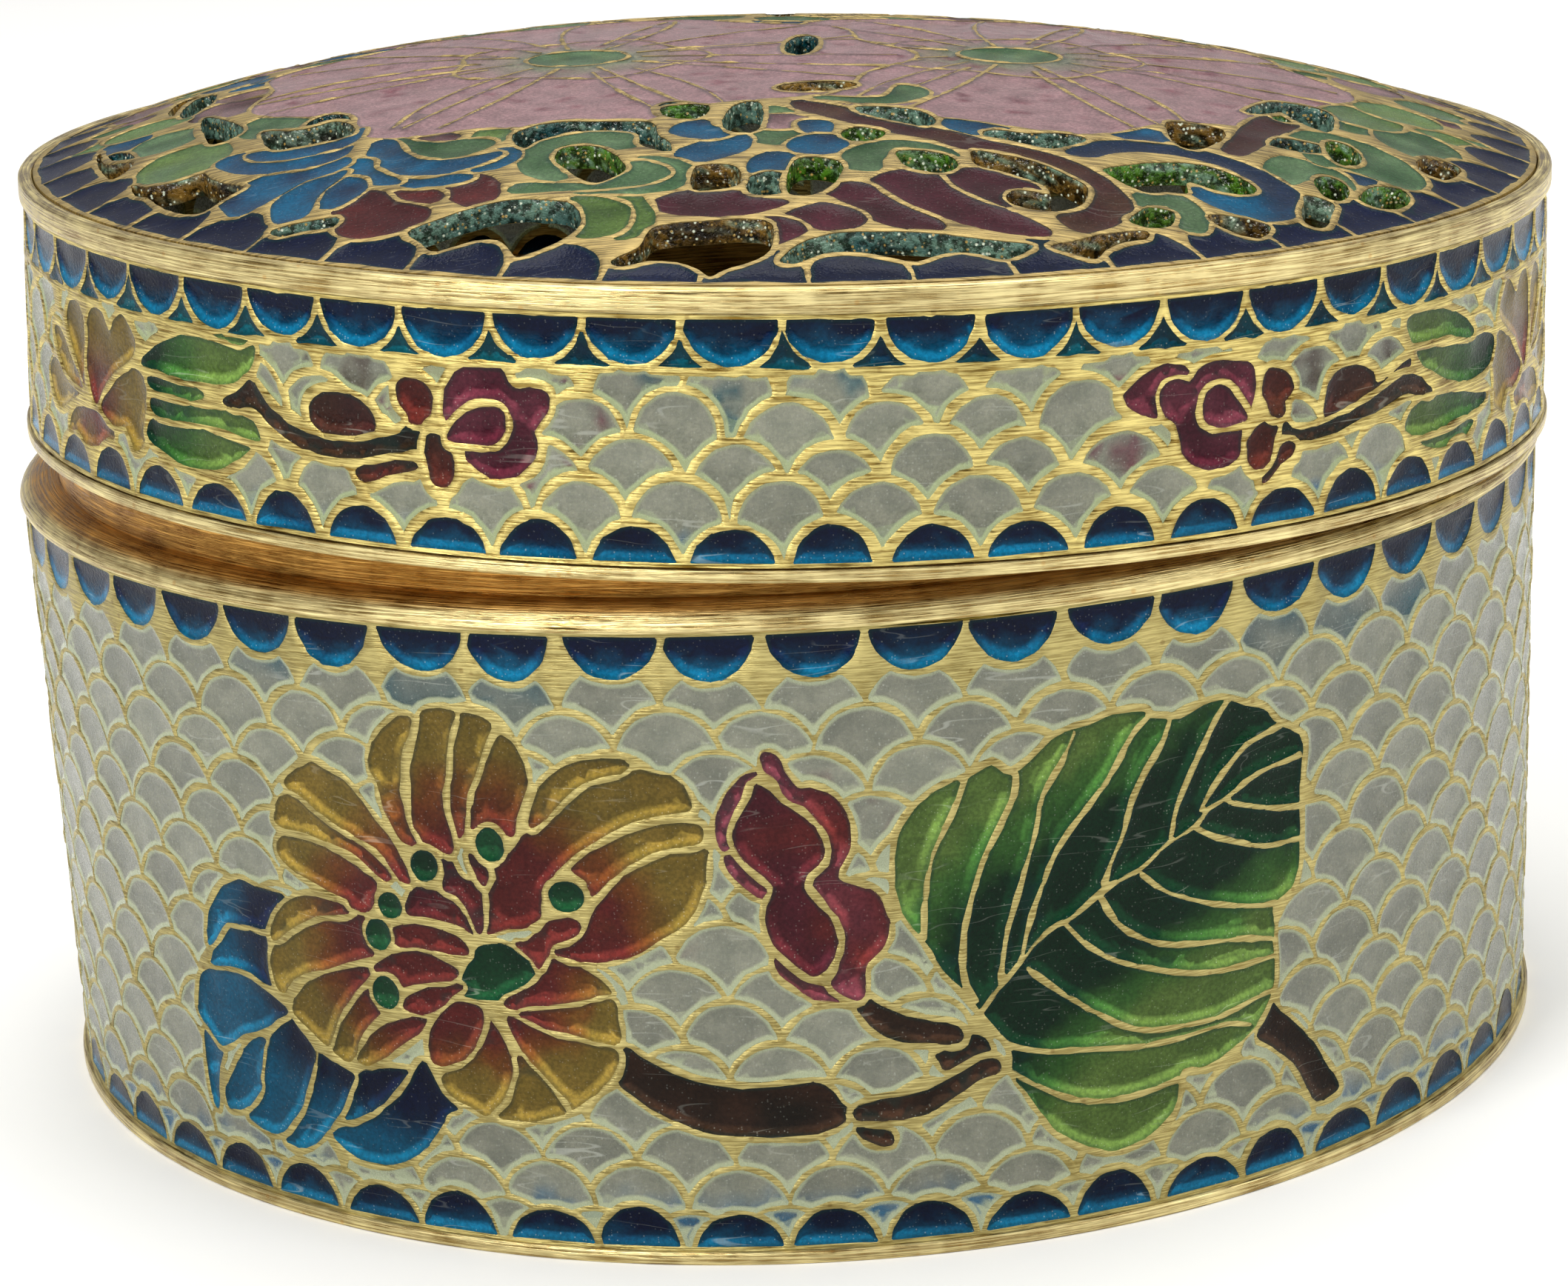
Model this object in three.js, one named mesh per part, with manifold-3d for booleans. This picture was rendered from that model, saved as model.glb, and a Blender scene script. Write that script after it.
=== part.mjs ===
// A round trinket box of wirework and window enamel, with a pierced, domed lift-off lid.
// Millimetres, +Z up, origin on the table under the middle of the box.
// The lid sits askew: it hangs over the rim on the right and stands up on the left.

import * as THREE from 'three';
import { mergeVertices } from 'three/addons/utils/BufferGeometryUtils.js';
import Module from 'manifold-3d';

const wasm = await Module();
wasm.setup();

// Driving dimensions of the body
const mouthRadius = 34.7; // outside of the body wall under its rim
const bodyTaper = 0.6; // how much narrower the body wall is at its foot
const bodyWallHeight = 26.15;
const bodyWallThickness = 0.95;
const footRingHeight = 0.55;
const footRingProud = 0.2; // how far the foot ring stands out from the wall
const footRingWidth = 1.9;
const basePlateThickness = 0.95;
const basePlateLift = 0.3; // the base plate clears the table by this much
const rimHeight = 1.05;
const rimProud = 0.15;
const rimEdgeHeight = 0.15; // upright part of the rim below its rounded shoulder
const collarHeight = 2.65; // inner collar, from the top of the shoulder
const collarThickness = 0.7;

// Driving dimensions of the lid
const lidInset = 0.1; // how far the lid wall stands back from the body wall
const lidTaper = 0.2;
const lidWallHeight = 9.9;
const lidWallThickness = 0.85;
const lidRimHeight = 0.6;
const lidRimProud = 0.15;
const lidRimThickness = 0.85;
const lidLipThickness = 0.3; // the lid's lower edge is chamfered inside down to this
const edgeBandHeight = 1.1;
const edgeBandProud = 0.15;
const edgeBandLedge = 0.5; // from the lid wall's top in to the edge of the dome
const edgeBandRound = 0.3;
const domeRise = 4.55;
const domeFullness = 2.8; // exponent of the dome's curve, 2 is a plain parabola

// Fits
const collarClearance = 0.85; // between the collar and the inside of the lid's rim
const contactGap = 0.38; // what is left of it where the lid leans on the collar
const lipOverlap = 0.39; // how far the low side of the lid hangs down over the shoulder
const solderSeam = 0.05; // between the pieces of the lid and of the body's rim
const lidTilt = THREE.MathUtils.degToRad(2.07);

// Facets
const ringFacets = 64;
const shoulderSteps = 5;
const domeSteps = 6;
const smallHoleSides = 10;
const largeHoleSides = 14;
const largeHoleLength = 3.5;

// Sizes that follow from the ones above
const footRadius = mouthRadius - bodyTaper;
const rimBottom = footRingHeight + bodyWallHeight;
const rimTop = rimBottom + rimHeight;
const rimRadius = mouthRadius + rimProud;
const lidSkirtRadius = mouthRadius - lidInset;
const lidShoulderRadius = lidSkirtRadius - lidTaper;
const lidRimRadius = lidSkirtRadius + lidRimProud;
const lidRimInside = lidRimRadius - lidRimThickness;
const collarRadius = lidRimInside - collarClearance;
const domeRadius = lidShoulderRadius - edgeBandLedge;
const edgeBandRadius = lidShoulderRadius + edgeBandProud;
const lidWallTop = lidRimHeight + lidWallHeight;
const lidShift = collarClearance - contactGap;
const lidSeat = rimTop - lipOverlap + lidRimRadius * Math.sin(lidTilt);

// The openings in the dome, in plan: x and y of the middle, length, width, heading in
// degrees and bend, which is how far the middle bows out to the left of the heading.
const frontOpenings = [
  [-10.3, -27.9, 5.8, 3.0, -8, 0.3],
  [-7.2, -22.2, 4.4, 2.1, -72, 0.2],
  [-3.0, -30.1, 4.8, 2.2, 2, 0],
  [5.2, -30.2, 8.2, 1.6, 10, -0.3],
  [11.4, -23.4, 6.4, 1.9, -52, 1.1],
  [16.8, -21.1, 5.8, 2.7, -3, 0.8],
  [15.8, -25.7, 2.2, 1.4, 75, 0],
  [18.9, -25.4, 2.5, 1.2, 22, 0],
  [22.6, -22.3, 3.1, 1.4, 80, 0],
  [2.2, -24.0, 4.0, 1.6, 82, 0],
  [-1.8, -24.2, 3.0, 1.5, 95, 0],
  [6.1, -22.1, 2.6, 1.8, 100, 0.2],
  [-7.6, -17.6, 5.8, 1.1, -4, 0.9],
  [10.8, -18.4, 5.0, 1.2, -4, 0.2],
  [17.9, -15.7, 3.6, 1.6, 70, 0],
  [5.2, -16.1, 3.6, 1.8, -32, 0],
  [-25.0, -18.2, 4.4, 2.5, -42, 0],
  [-21.4, -13.5, 3.2, 1.3, 104, 0],
  [23.2, -14.6, 3.4, 2.0, 80, 0],
  [26.0, -18.2, 2.4, 1.2, 62, 0],
  [28.6, -12.6, 3.0, 1.1, 70, 0],
  [-0.8, -16.4, 4.2, 1.6, 86, 0],
];
const middleOpenings = [
  [-3.9, -15.2, 2.8, 1.7, 100, 0],
  [-19.1, -13.0, 4.6, 2.0, 96, 0],
  [-24.4, -9.3, 5.2, 1.4, 107, 0],
  [-28.6, -10.8, 4.4, 1.3, 106, 0],
  [-27.2, -0.4, 5.8, 1.5, 94, 0],
  [22.6, -9.1, 3.8, 1.6, 62, 0],
  [1.8, -10.8, 3.4, 2.0, 20, 0],
  [0.8, 1.0, 6.4, 1.3, 88, 0],
];
const layoutRadius = 33.9; // dome radius that the places above are drawn at

// The unseen back of the dome repeats the front openings, turned about the X axis.
const backOpenings = frontOpenings.map(([x, y, length, width, heading, bend]) =>
  [x, -y, length, width, -heading, -bend]);

// A solid of revolution about Z from a closed outline of [radius, height] pairs.
function turned(outline) {
  const points = outline.map(([radius, height]) => new THREE.Vector2(radius, height));
  points.push(points[0].clone());
  const geometry = new THREE.LatheGeometry(points, ringFacets);
  geometry.rotateX(Math.PI / 2);
  return geometry;
}

// A solid of revolution whose outline starts and ends on the axis.
function turnedOnAxis(outline) {
  const points = outline.map(([radius, height]) => new THREE.Vector2(radius, height));
  const geometry = new THREE.LatheGeometry(points, ringFacets);
  geometry.rotateX(Math.PI / 2);
  return geometry;
}

// A solid for joining and cutting, from a closed geometry.
function solidOf(geometry) {
  const bare = geometry.clone();
  bare.deleteAttribute('normal');
  bare.deleteAttribute('uv');
  const merged = mergeVertices(bare);
  return new wasm.Manifold(new wasm.Mesh({
    numProp: 3,
    vertProperties: new Float32Array(merged.attributes.position.array),
    triVerts: new Uint32Array(merged.index.array),
  }));
}

// The geometry of a cut or joined solid.
function geometryOf(solid) {
  const mesh = solid.getMesh();
  const geometry = new THREE.BufferGeometry();
  geometry.setAttribute('position', new THREE.BufferAttribute(mesh.vertProperties, 3));
  geometry.setIndex(new THREE.BufferAttribute(mesh.triVerts, 1));
  geometry.computeVertexNormals();
  return geometry;
}

// A named mesh with its own material.
function piece(name, geometry, colour, roughness, metalness) {
  const material = new THREE.MeshStandardMaterial({ color: colour, roughness, metalness });
  const mesh = new THREE.Mesh(geometry, material);
  mesh.name = name;
  return mesh;
}

// Gilt metalwork, the rings and bands.
function gilt(name, geometry) {
  return piece(name, geometry, 0xb8924a, 0.35, 1.0);
}

// Enamel in wirework, the panels.
function enamel(name, geometry, colour) {
  return piece(name, geometry, colour, 0.2, 0.1);
}

// The foot ring: a flat strip that the wall stands on, with its outer corners eased.
function footRing() {
  const outer = footRadius + footRingProud;
  const ease = footRingProud / 2;
  return turned([
    [outer - footRingWidth, 0],
    [outer - ease, 0],
    [outer, ease],
    [outer, footRingHeight - ease],
    [outer - ease, footRingHeight],
    [outer - footRingWidth, footRingHeight],
  ]);
}

// The base plate, let into the foot ring and just clear of the table.
function basePlate() {
  const edge = footRadius + footRingProud - footRingWidth - solderSeam;
  return turnedOnAxis([
    [0, basePlateLift],
    [edge, basePlateLift],
    [edge, basePlateLift + basePlateThickness],
    [0, basePlateLift + basePlateThickness],
  ]);
}

// The body wall, an even shell that widens a little towards the mouth.
function bodyWall() {
  return turned([
    [footRadius - bodyWallThickness, footRingHeight],
    [footRadius, footRingHeight],
    [mouthRadius, rimBottom],
    [mouthRadius - bodyWallThickness, rimBottom],
  ]);
}

// The rim: an upright edge, a rounded shoulder, and the collar that the lid goes over.
function bodyRim() {
  const shoulderReach = rimRadius - collarRadius;
  const shoulderHeight = rimHeight - rimEdgeHeight;
  const shoulder = [];
  for (let step = 0; step <= shoulderSteps; step += 1) {
    const angle = (step / shoulderSteps) * (Math.PI / 2);
    shoulder.push([
      collarRadius + shoulderReach * Math.cos(angle),
      rimBottom + rimEdgeHeight + shoulderHeight * Math.sin(angle),
    ]);
  }
  const collarTop = rimTop + collarHeight;
  const collarEase = collarThickness / 4;
  return turned([
    [collarRadius - collarThickness, rimBottom],
    [rimRadius - rimProud / 2, rimBottom],
    ...shoulder,
    [collarRadius, collarTop - collarEase],
    [collarRadius - collarEase, collarTop],
    [collarRadius - collarThickness, collarTop],
  ]);
}

// The lid's lower rim, chamfered inside to a thin lip.
function lidRim() {
  const ease = lidRimProud / 2;
  return turned([
    [lidRimRadius - lidLipThickness, 0],
    [lidRimRadius - ease, 0],
    [lidRimRadius, ease],
    [lidRimRadius, lidRimHeight - ease - solderSeam],
    [lidRimRadius - ease, lidRimHeight - solderSeam],
    [lidRimInside, lidRimHeight - solderSeam],
  ]);
}

// The lid wall.
function lidWall() {
  return turned([
    [lidSkirtRadius - lidWallThickness, lidRimHeight],
    [lidSkirtRadius, lidRimHeight],
    [lidShoulderRadius, lidWallTop - solderSeam],
    [lidShoulderRadius - lidWallThickness, lidWallTop - solderSeam],
  ]);
}

// The gilt band round the edge of the dome, rounded at its upper corner.
function lidEdgeBand() {
  const top = lidWallTop + edgeBandHeight;
  const corner = edgeBandRound * (1 - Math.SQRT1_2);
  return turned([
    [domeRadius, lidWallTop],
    [edgeBandRadius, lidWallTop],
    [edgeBandRadius, top - edgeBandRound],
    [edgeBandRadius - corner, top - corner],
    [edgeBandRadius - edgeBandRound, top],
    [domeRadius, top],
  ]);
}

// Height of the dome above its edge at a distance from the middle.
function domeHeight(radius) {
  return domeRise * (1 - (radius / domeRadius) ** domeFullness);
}

// The outline of an opening in plan: a lens with blunt ends, bowed along its length.
function openingShape([x, y, length, width, heading, bend]) {
  const sides = length > largeHoleLength ? largeHoleSides : smallHoleSides;
  const turn = THREE.MathUtils.degToRad(heading);
  const scale = domeRadius / layoutRadius;
  const shape = new THREE.Shape();
  for (let side = 0; side < sides; side += 1) {
    const angle = (side / sides) * Math.PI * 2;
    const along = (length / 2) * Math.cos(angle);
    const across = (width / 2) * Math.sin(angle) + bend * Math.sin(angle) ** 2;
    const pointX = x * scale + along * Math.cos(turn) - across * Math.sin(turn);
    const pointY = y * scale + along * Math.sin(turn) + across * Math.cos(turn);
    if (side === 0) {
      shape.moveTo(pointX, pointY);
    } else {
      shape.lineTo(pointX, pointY);
    }
  }
  shape.closePath();
  return shape;
}

// The pierced dome: a shell of even thickness less the openings between its scrolls.
function lidDome() {
  const thickness = edgeBandHeight - solderSeam;
  const edge = domeRadius - solderSeam;
  const top = lidWallTop + edgeBandHeight;
  const outside = [];
  for (let step = 0; step <= domeSteps; step += 1) {
    const radius = edge * Math.sin((step / domeSteps) * (Math.PI / 2));
    outside.push([radius, top + domeHeight(radius)]);
  }
  const inside = outside.map(([radius, height]) => [radius, height - thickness]);
  let dome = solidOf(turnedOnAxis([...inside, ...outside.reverse()]));
  for (const opening of [...frontOpenings, ...middleOpenings, ...backOpenings]) {
    const cutter = new THREE.ExtrudeGeometry(openingShape(opening), {
      depth: domeRise + edgeBandHeight + lidWallHeight,
      bevelEnabled: false,
    });
    cutter.translate(0, 0, lidRimHeight);
    dome = dome.subtract(solidOf(cutter));
  }
  return geometryOf(dome);
}

const box = new THREE.Group();
box.add(gilt('body_foot_ring', footRing()));
box.add(enamel('body_base_plate', basePlate(), 0x6d7470));
box.add(enamel('body_wall', bodyWall(), 0x8a8c86));
box.add(gilt('body_rim', bodyRim()));

const lid = new THREE.Group();
lid.add(gilt('lid_lower_rim', lidRim()));
lid.add(enamel('lid_wall', lidWall(), 0x84877f));
lid.add(gilt('lid_edge_band', lidEdgeBand()));
lid.add(enamel('lid_dome', lidDome(), 0x7a5f6c));
lid.rotation.y = lidTilt;
lid.position.set(lidShift, 0, lidSeat);
box.add(lid);

export default box;
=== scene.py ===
"""Round trinket box of gilt wirework and window enamel, dressed for rendering.

Each panel of the box is drawn flat in millimetres as enamel cells, which keep a wire's width
from each other. The drawing is then triangulated and laid on the wall, the dome or the base,
as wirework and enamel of true thickness.
"""

import logging
import math
import re
from collections.abc import Callable
from dataclasses import dataclass, field
from enum import Enum

import bpy
import numpy as np
from bpy.types import Material, Node, NodeSocket, NodeTree, Object
from mathutils import Matrix, Vector
from mathutils.geometry import delaunay_2d_cdt


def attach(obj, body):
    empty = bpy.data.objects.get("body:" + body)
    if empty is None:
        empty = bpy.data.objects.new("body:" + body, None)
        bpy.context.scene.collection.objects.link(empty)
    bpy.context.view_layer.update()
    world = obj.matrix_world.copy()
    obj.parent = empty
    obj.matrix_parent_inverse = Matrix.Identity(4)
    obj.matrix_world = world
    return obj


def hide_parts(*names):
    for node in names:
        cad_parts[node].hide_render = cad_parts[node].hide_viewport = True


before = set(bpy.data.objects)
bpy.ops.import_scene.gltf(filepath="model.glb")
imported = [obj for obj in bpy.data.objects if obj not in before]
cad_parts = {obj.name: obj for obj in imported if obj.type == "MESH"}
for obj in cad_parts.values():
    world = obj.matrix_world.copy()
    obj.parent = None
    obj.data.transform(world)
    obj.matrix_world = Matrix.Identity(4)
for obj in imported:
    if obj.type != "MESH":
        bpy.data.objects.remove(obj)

LOG = logging.getLogger("trinket_box")
MM = 0.001
TURN = math.tau

Points = np.ndarray
Colour = tuple[float, float, float]
Shape = Callable[[Points], np.ndarray]


def linear(red: int, green: int, blue: int) -> Colour:
    """Turn a display colour of 0 to 255 a channel into a linear one."""
    return tuple(((c / 255 + 0.055) / 1.055) ** 2.4 if c > 10 else c / 3295 for c in (red, green, blue))


class Kind(Enum):
    """What fills a cell of a panel."""

    CLEAR = "clear"
    COLOURED = "coloured"
    OPEN = "open"


class Hue(Enum):
    """Colours of the enamels, linear."""

    GREY = linear(137, 138, 122)
    TEAL = linear(8, 80, 92)
    NAVY = linear(6, 18, 50)
    BLUE = linear(12, 92, 130)
    TURQUOISE = linear(6, 92, 128)
    AMBER = linear(128, 106, 46)
    ORANGE = linear(112, 42, 10)
    BURGUNDY = linear(96, 35, 33)
    CRIMSON = linear(108, 52, 66)
    WINE = linear(74, 26, 40)
    LEAF_DARK = linear(8, 42, 24)
    LEAF = linear(94, 120, 58)
    STAMEN = linear(22, 68, 40)
    BROWN = linear(66, 42, 30)
    MAUVE = linear(152, 120, 124)
    SLATE = linear(28, 46, 74)
    PLUM = linear(56, 24, 30)
    MOSS = linear(40, 76, 44)
    GREENISH = linear(96, 122, 88)
    ICE = linear(142, 180, 160)
    LIME = linear(92, 156, 28)
    HONEY = linear(164, 126, 54)
    SOOT = linear(26, 22, 16)
    FRESH = linear(46, 108, 44)


@dataclass(frozen=True)
class Tint:
    """Enamel whose colour runs from one hue to another with the distance from an anchor line."""

    near: Hue
    far: Hue
    anchor: tuple[tuple[float, float], ...] = ()
    start: float = 0.0
    stop: float = 1.0
    glow: Hue | None = None
    stain: Hue | None = None
    stained: float = 0.3

    def at(self, points: Points) -> np.ndarray:
        """Colour the places.

        Args:
            points: Flat places in millimetres, one a row.

        Returns:
            Linear colours, one a row.
        """
        near, far = np.array(self.near.value), np.array(self.far.value)
        if not self.anchor:
            share = 0.5 + 0.5 * ripple(points, 1.3, 91)
        else:
            away = line_distance(points, np.array(self.anchor, float))
            away = away + 0.35 * ripple(points, 0.9, 17) + 0.3 * ripple(points, 0.3, 19)
            share = ease(away, self.start, self.stop)
        colour = near + (far - near) * share[:, None]
        if self.glow:
            colour += (np.array(self.glow.value) - colour) * (2.0 * share * (1 - share))[:, None]
        if self.stain:
            cloud = ripple(points, 0.9, 33) + 0.5 * ripple(points, 0.3, 35)
            patch = ease(cloud, 0.6 - self.stained, 1.3 - self.stained)
            colour += (np.array(self.stain.value) - colour) * (0.8 * patch)[:, None]
        return colour


PLAIN_GREY = Tint(Hue.GREY, Hue.GREY)


def all_round(height: float) -> tuple[tuple[float, float], ...]:
    """Anchor line that runs right round a wall at one height."""
    return (-110.0, height), (110.0, height)


def ease(value: np.ndarray, low: float, high: float) -> np.ndarray:
    """Rise smoothly from 0 at low to 1 at high."""
    share = np.clip((value - low) / (high - low), 0, 1)
    return share * share * (3 - 2 * share)


def ripple(points: Points, size: float, seed: int) -> np.ndarray:
    """Smooth random values at places in two or three dimensions.

    Args:
        points: Places in millimetres, one a row.
        size: Distance between independent values, in millimetres.
        seed: Chooses the pattern.

    Returns:
        Values from -1 to 1.
    """
    place = points / size
    cell = np.floor(place).astype(np.int64)
    part = place - cell
    part = part * part * (3 - 2 * part)
    total = np.zeros(len(points))
    for corner in range(2 ** points.shape[1]):
        weight = np.ones(len(points))
        code = np.full(len(points), seed * 974634777, np.int64)
        for axis, factor in zip(range(points.shape[1]), (374761393, 668265263, 2147483647)):
            bit = corner >> axis & 1
            weight *= part[:, axis] if bit else 1 - part[:, axis]
            code += (cell[:, axis] + bit) * factor
        code = (code ^ (code >> 13)) * 1274126177 & 0x7FFFFFFF
        total += weight * (((code ^ (code >> 16)) & 0xFFFF) / 32767.5 - 1)
    return total


def line_distance(points: Points, line: Points, closed: bool = False) -> np.ndarray:
    """Distance of each point from a line of straight runs, in millimetres."""
    if len(line) == 1:
        return np.hypot(*(points - line[0]).T)
    starts, ends = (line, np.roll(line, -1, 0)) if closed else (line[:-1], line[1:])
    best = np.full(len(points), np.inf)
    for start, end in zip(starts, ends):
        run = end - start
        offset = points - start
        share = np.clip(offset @ run / max(run @ run, 1e-9), 0, 1)
        best = np.minimum(best, ((offset - share[:, None] * run) ** 2).sum(1))
    return np.sqrt(best)


def within(points: Points, outline: Points) -> np.ndarray:
    """True for each point inside a closed outline."""
    inside = np.zeros(len(points), bool)
    x, y = points.T
    for (ax, ay), (bx, by) in zip(outline, np.roll(outline, -1, 0)):
        crosses = (ay > y) != (by > y)
        inside ^= crosses & (x < (bx - ax) * (y - ay) / (by - ay if by != ay else 1e-9) + ax)
    return inside


def soften(line: Points, closed: bool = True, steps: int = 3) -> Points:
    """Run a smooth curve through the points of a line.

    Args:
        line: Points that the curve goes through.
        closed: Whether the line ends where it starts.
        steps: Straight runs between two of the points.

    Returns:
        The points of the curve.
    """
    count = len(line)
    ends = line if closed else np.vstack([2 * line[0] - line[1], line, 2 * line[-1] - line[-2]])
    curve = []
    for index in range(count if closed else count - 1):
        a, b, c, d = (ends[(index + k - (1 if closed else 0)) % len(ends)] for k in range(4))
        for share in np.arange(steps) / steps:
            curve.append(0.5 * (2 * b + (c - a) * share + (2 * a - 5 * b + 4 * c - d) * share**2
                                + (3 * b - a - 3 * c + d) * share**3))
    if not closed:
        curve.append(line[-1])
    return np.array(curve)


def traced(text: str) -> Points:
    """Read a line's first point and the steps to its next ones, in tenths of a millimetre."""
    return np.round(np.cumsum(np.array(text.split(), float).reshape(-1, 2), 0) / 10, 2)


def traced_lines(text: str) -> dict[str, Points]:
    """Read lines that stand behind their names. Returns millimetres."""
    return {name: traced(numbers) for name, numbers in re.findall(r"([a-z]\w*)([^a-z]+)", text)}


def contours(values: np.ndarray, level: float, origin: Points, step: float) -> list[Points]:
    """Closed lines at one level of a raster, with higher values on their left.

    Args:
        values: Raster, one row of places above another.
        level: Value that the lines follow.
        origin: Place of the first value.
        step: Distance between values.

    Returns:
        Lines of places.
    """
    over = values > level
    flat, upright = over[:, :-1] != over[:, 1:], over[:-1] != over[1:]
    flat_id, upright_id = np.full(flat.shape, -1), np.full(upright.shape, -1)
    flat_id[flat] = np.arange(flat.sum())
    upright_id[upright] = flat.sum() + np.arange(upright.sum())
    row, col = np.nonzero(flat)
    share = (level - values[row, col]) / (values[row, col + 1] - values[row, col])
    places = [np.stack([col + share, row], 1)]
    row, col = np.nonzero(upright)
    share = (level - values[row, col]) / (values[row + 1, col] - values[row, col])
    places.append(np.stack([col, row + share], 1))
    place = origin + np.vstack(places) * step
    edges = (flat_id[:-1], upright_id[:, 1:], flat_id[1:], upright_id[:, :-1])
    corners = (over[:-1, :-1], over[:-1, 1:], over[1:, 1:], over[1:, :-1])
    case = sum(corner.astype(int) << bit for bit, corner in enumerate(corners))
    centre = (values[:-1, :-1] + values[:-1, 1:] + values[1:, 1:] + values[1:, :-1]) / 4 > level
    joins = {1: "03", 2: "10", 3: "13", 4: "21", 6: "20", 7: "23", 8: "32", 9: "02",
             11: "12", 12: "31", 13: "01", 14: "30"}
    follow = np.full(len(place), -1)
    for number, join in joins.items():
        chosen = case == number
        follow[edges[int(join[0])][chosen]] = edges[int(join[1])][chosen]
    for number, apart, joined in ((5, ("03", "21"), ("01", "23")), (10, ("10", "32"), ("30", "12"))):
        for wanted, pairs in ((~centre, apart), (centre, joined)):
            chosen = (case == number) & wanted
            for join in pairs:
                follow[edges[int(join[0])][chosen]] = edges[int(join[1])][chosen]
    links = follow.tolist()
    seen = bytearray(len(links))
    lines = []
    for first in range(len(links)):
        if seen[first]:
            continue
        line, at = [], first
        while at >= 0 and not seen[at]:
            seen[at] = 1
            line.append(at)
            at = links[at]
        if len(line) > 7:
            lines.append(place[line])
    return lines


def thinned(line: Points, error: float) -> Points:
    """Leave out the points of a closed line that its shape can spare.

    Args:
        line: Points of the closed line.
        error: How far the line may move, in millimetres.

    Returns:
        The points that stay.
    """
    far = int(np.argmax(((line - line[0]) ** 2).sum(1)))
    ring = np.vstack([line, line[:1]])
    keep = {0, far, len(line)}
    spans = [(0, far), (far, len(line))]
    while spans:
        first, last = spans.pop()
        if last - first < 2:
            continue
        run = ring[last] - ring[first]
        off = ring[first + 1:last] - ring[first]
        length = math.hypot(*run)
        gap = np.abs(run[0] * off[:, 1] - run[1] * off[:, 0]) / length if length > 1e-6 else np.hypot(*off.T)
        worst = int(np.argmax(gap))
        if gap[worst] > error:
            middle = first + 1 + worst
            keep.add(middle)
            spans += [(first, middle), (middle, last)]
    return line[sorted(keep - {len(line)})]


def enclosed(line: Points) -> float:
    """Area inside a closed line, negative where it runs clockwise."""
    x, y = line.T
    return 0.5 * float(np.sum(x * np.roll(y, -1) - np.roll(x, -1) * y))


@dataclass(frozen=True)
class WallChart:
    """Rolls a flat drawing, arc and height in millimetres, round an upright wall."""

    bottom: float
    top: float
    radius_bottom: float
    radius_top: float
    thickness: float
    place: Matrix = field(default_factory=Matrix)
    arc_radius: float = 34.7
    steps_round: int = 220
    steps_up: int = 11

    def edge(self) -> Points:
        """Outline of the flat drawing, with points close enough to bend round the wall."""
        half = math.pi * self.arc_radius
        across = np.linspace(-half, half, self.steps_round + 1)
        up = np.linspace(self.bottom, self.top, self.steps_up + 1)
        return np.vstack([
            np.stack([across[:-1], np.full(self.steps_round, self.bottom)], 1),
            np.stack([np.full(self.steps_up, half), up[:-1]], 1),
            np.stack([across[:0:-1], np.full(self.steps_round, self.top)], 1),
            np.stack([np.full(self.steps_up, -half), up[:0:-1]], 1)])

    def inset(self, points: Points) -> np.ndarray:
        """Distance of each flat place from the nearest edge of the drawing."""
        half = math.pi * self.arc_radius
        return np.minimum(np.minimum(points[:, 1] - self.bottom, self.top - points[:, 1]),
                          half - np.abs(points[:, 0]))

    def placed(self, flat: Points, depth: np.ndarray) -> Points:
        """Put flat places on the wall, at a depth below its outer face. Metres."""
        angle = flat[:, 0] / self.arc_radius
        share = (flat[:, 1] - self.bottom) / (self.top - self.bottom)
        radius = self.radius_bottom + (self.radius_top - self.radius_bottom) * share - depth
        return carried(np.stack([radius * np.sin(angle), -radius * np.cos(angle), flat[:, 1]], 1), self.place)


@dataclass(frozen=True)
class DiscChart:
    """Lays a flat round drawing on a dome, or on a flat base that faces down."""

    radius: float
    height: float
    thickness: float
    rise: float = 0.0
    fullness: float = 2.8
    place: Matrix = field(default_factory=Matrix)
    faces_down: bool = False
    steps_round: int = 220

    def edge(self) -> Points:
        """Outline of the flat drawing."""
        angle = np.arange(self.steps_round) * TURN / self.steps_round
        return self.radius * np.stack([np.cos(angle), np.sin(angle)], 1)

    def inset(self, points: Points) -> np.ndarray:
        """Distance of each flat place from the edge of the drawing."""
        return self.radius - np.hypot(*points.T)

    def placed(self, flat: Points, depth: np.ndarray) -> Points:
        """Put flat places on the dome or base, at a depth below its outer face. Metres."""
        share = np.clip(np.hypot(*flat.T) / self.radius, 0, 1)
        lift = self.height + self.rise * (1 - share**self.fullness)
        if self.faces_down:
            return carried(np.stack([-flat[:, 0], flat[:, 1], self.height + depth], 1), self.place)
        return carried(np.stack([flat[:, 0], flat[:, 1], lift - depth], 1), self.place)


Chart = WallChart | DiscChart


def carried(points: Points, place: Matrix) -> Points:
    """Turn and shift places in millimetres and give them in metres."""
    turn = np.array(place.to_3x3())
    return (points @ turn.T + np.array(place.translation)) * MM


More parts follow.
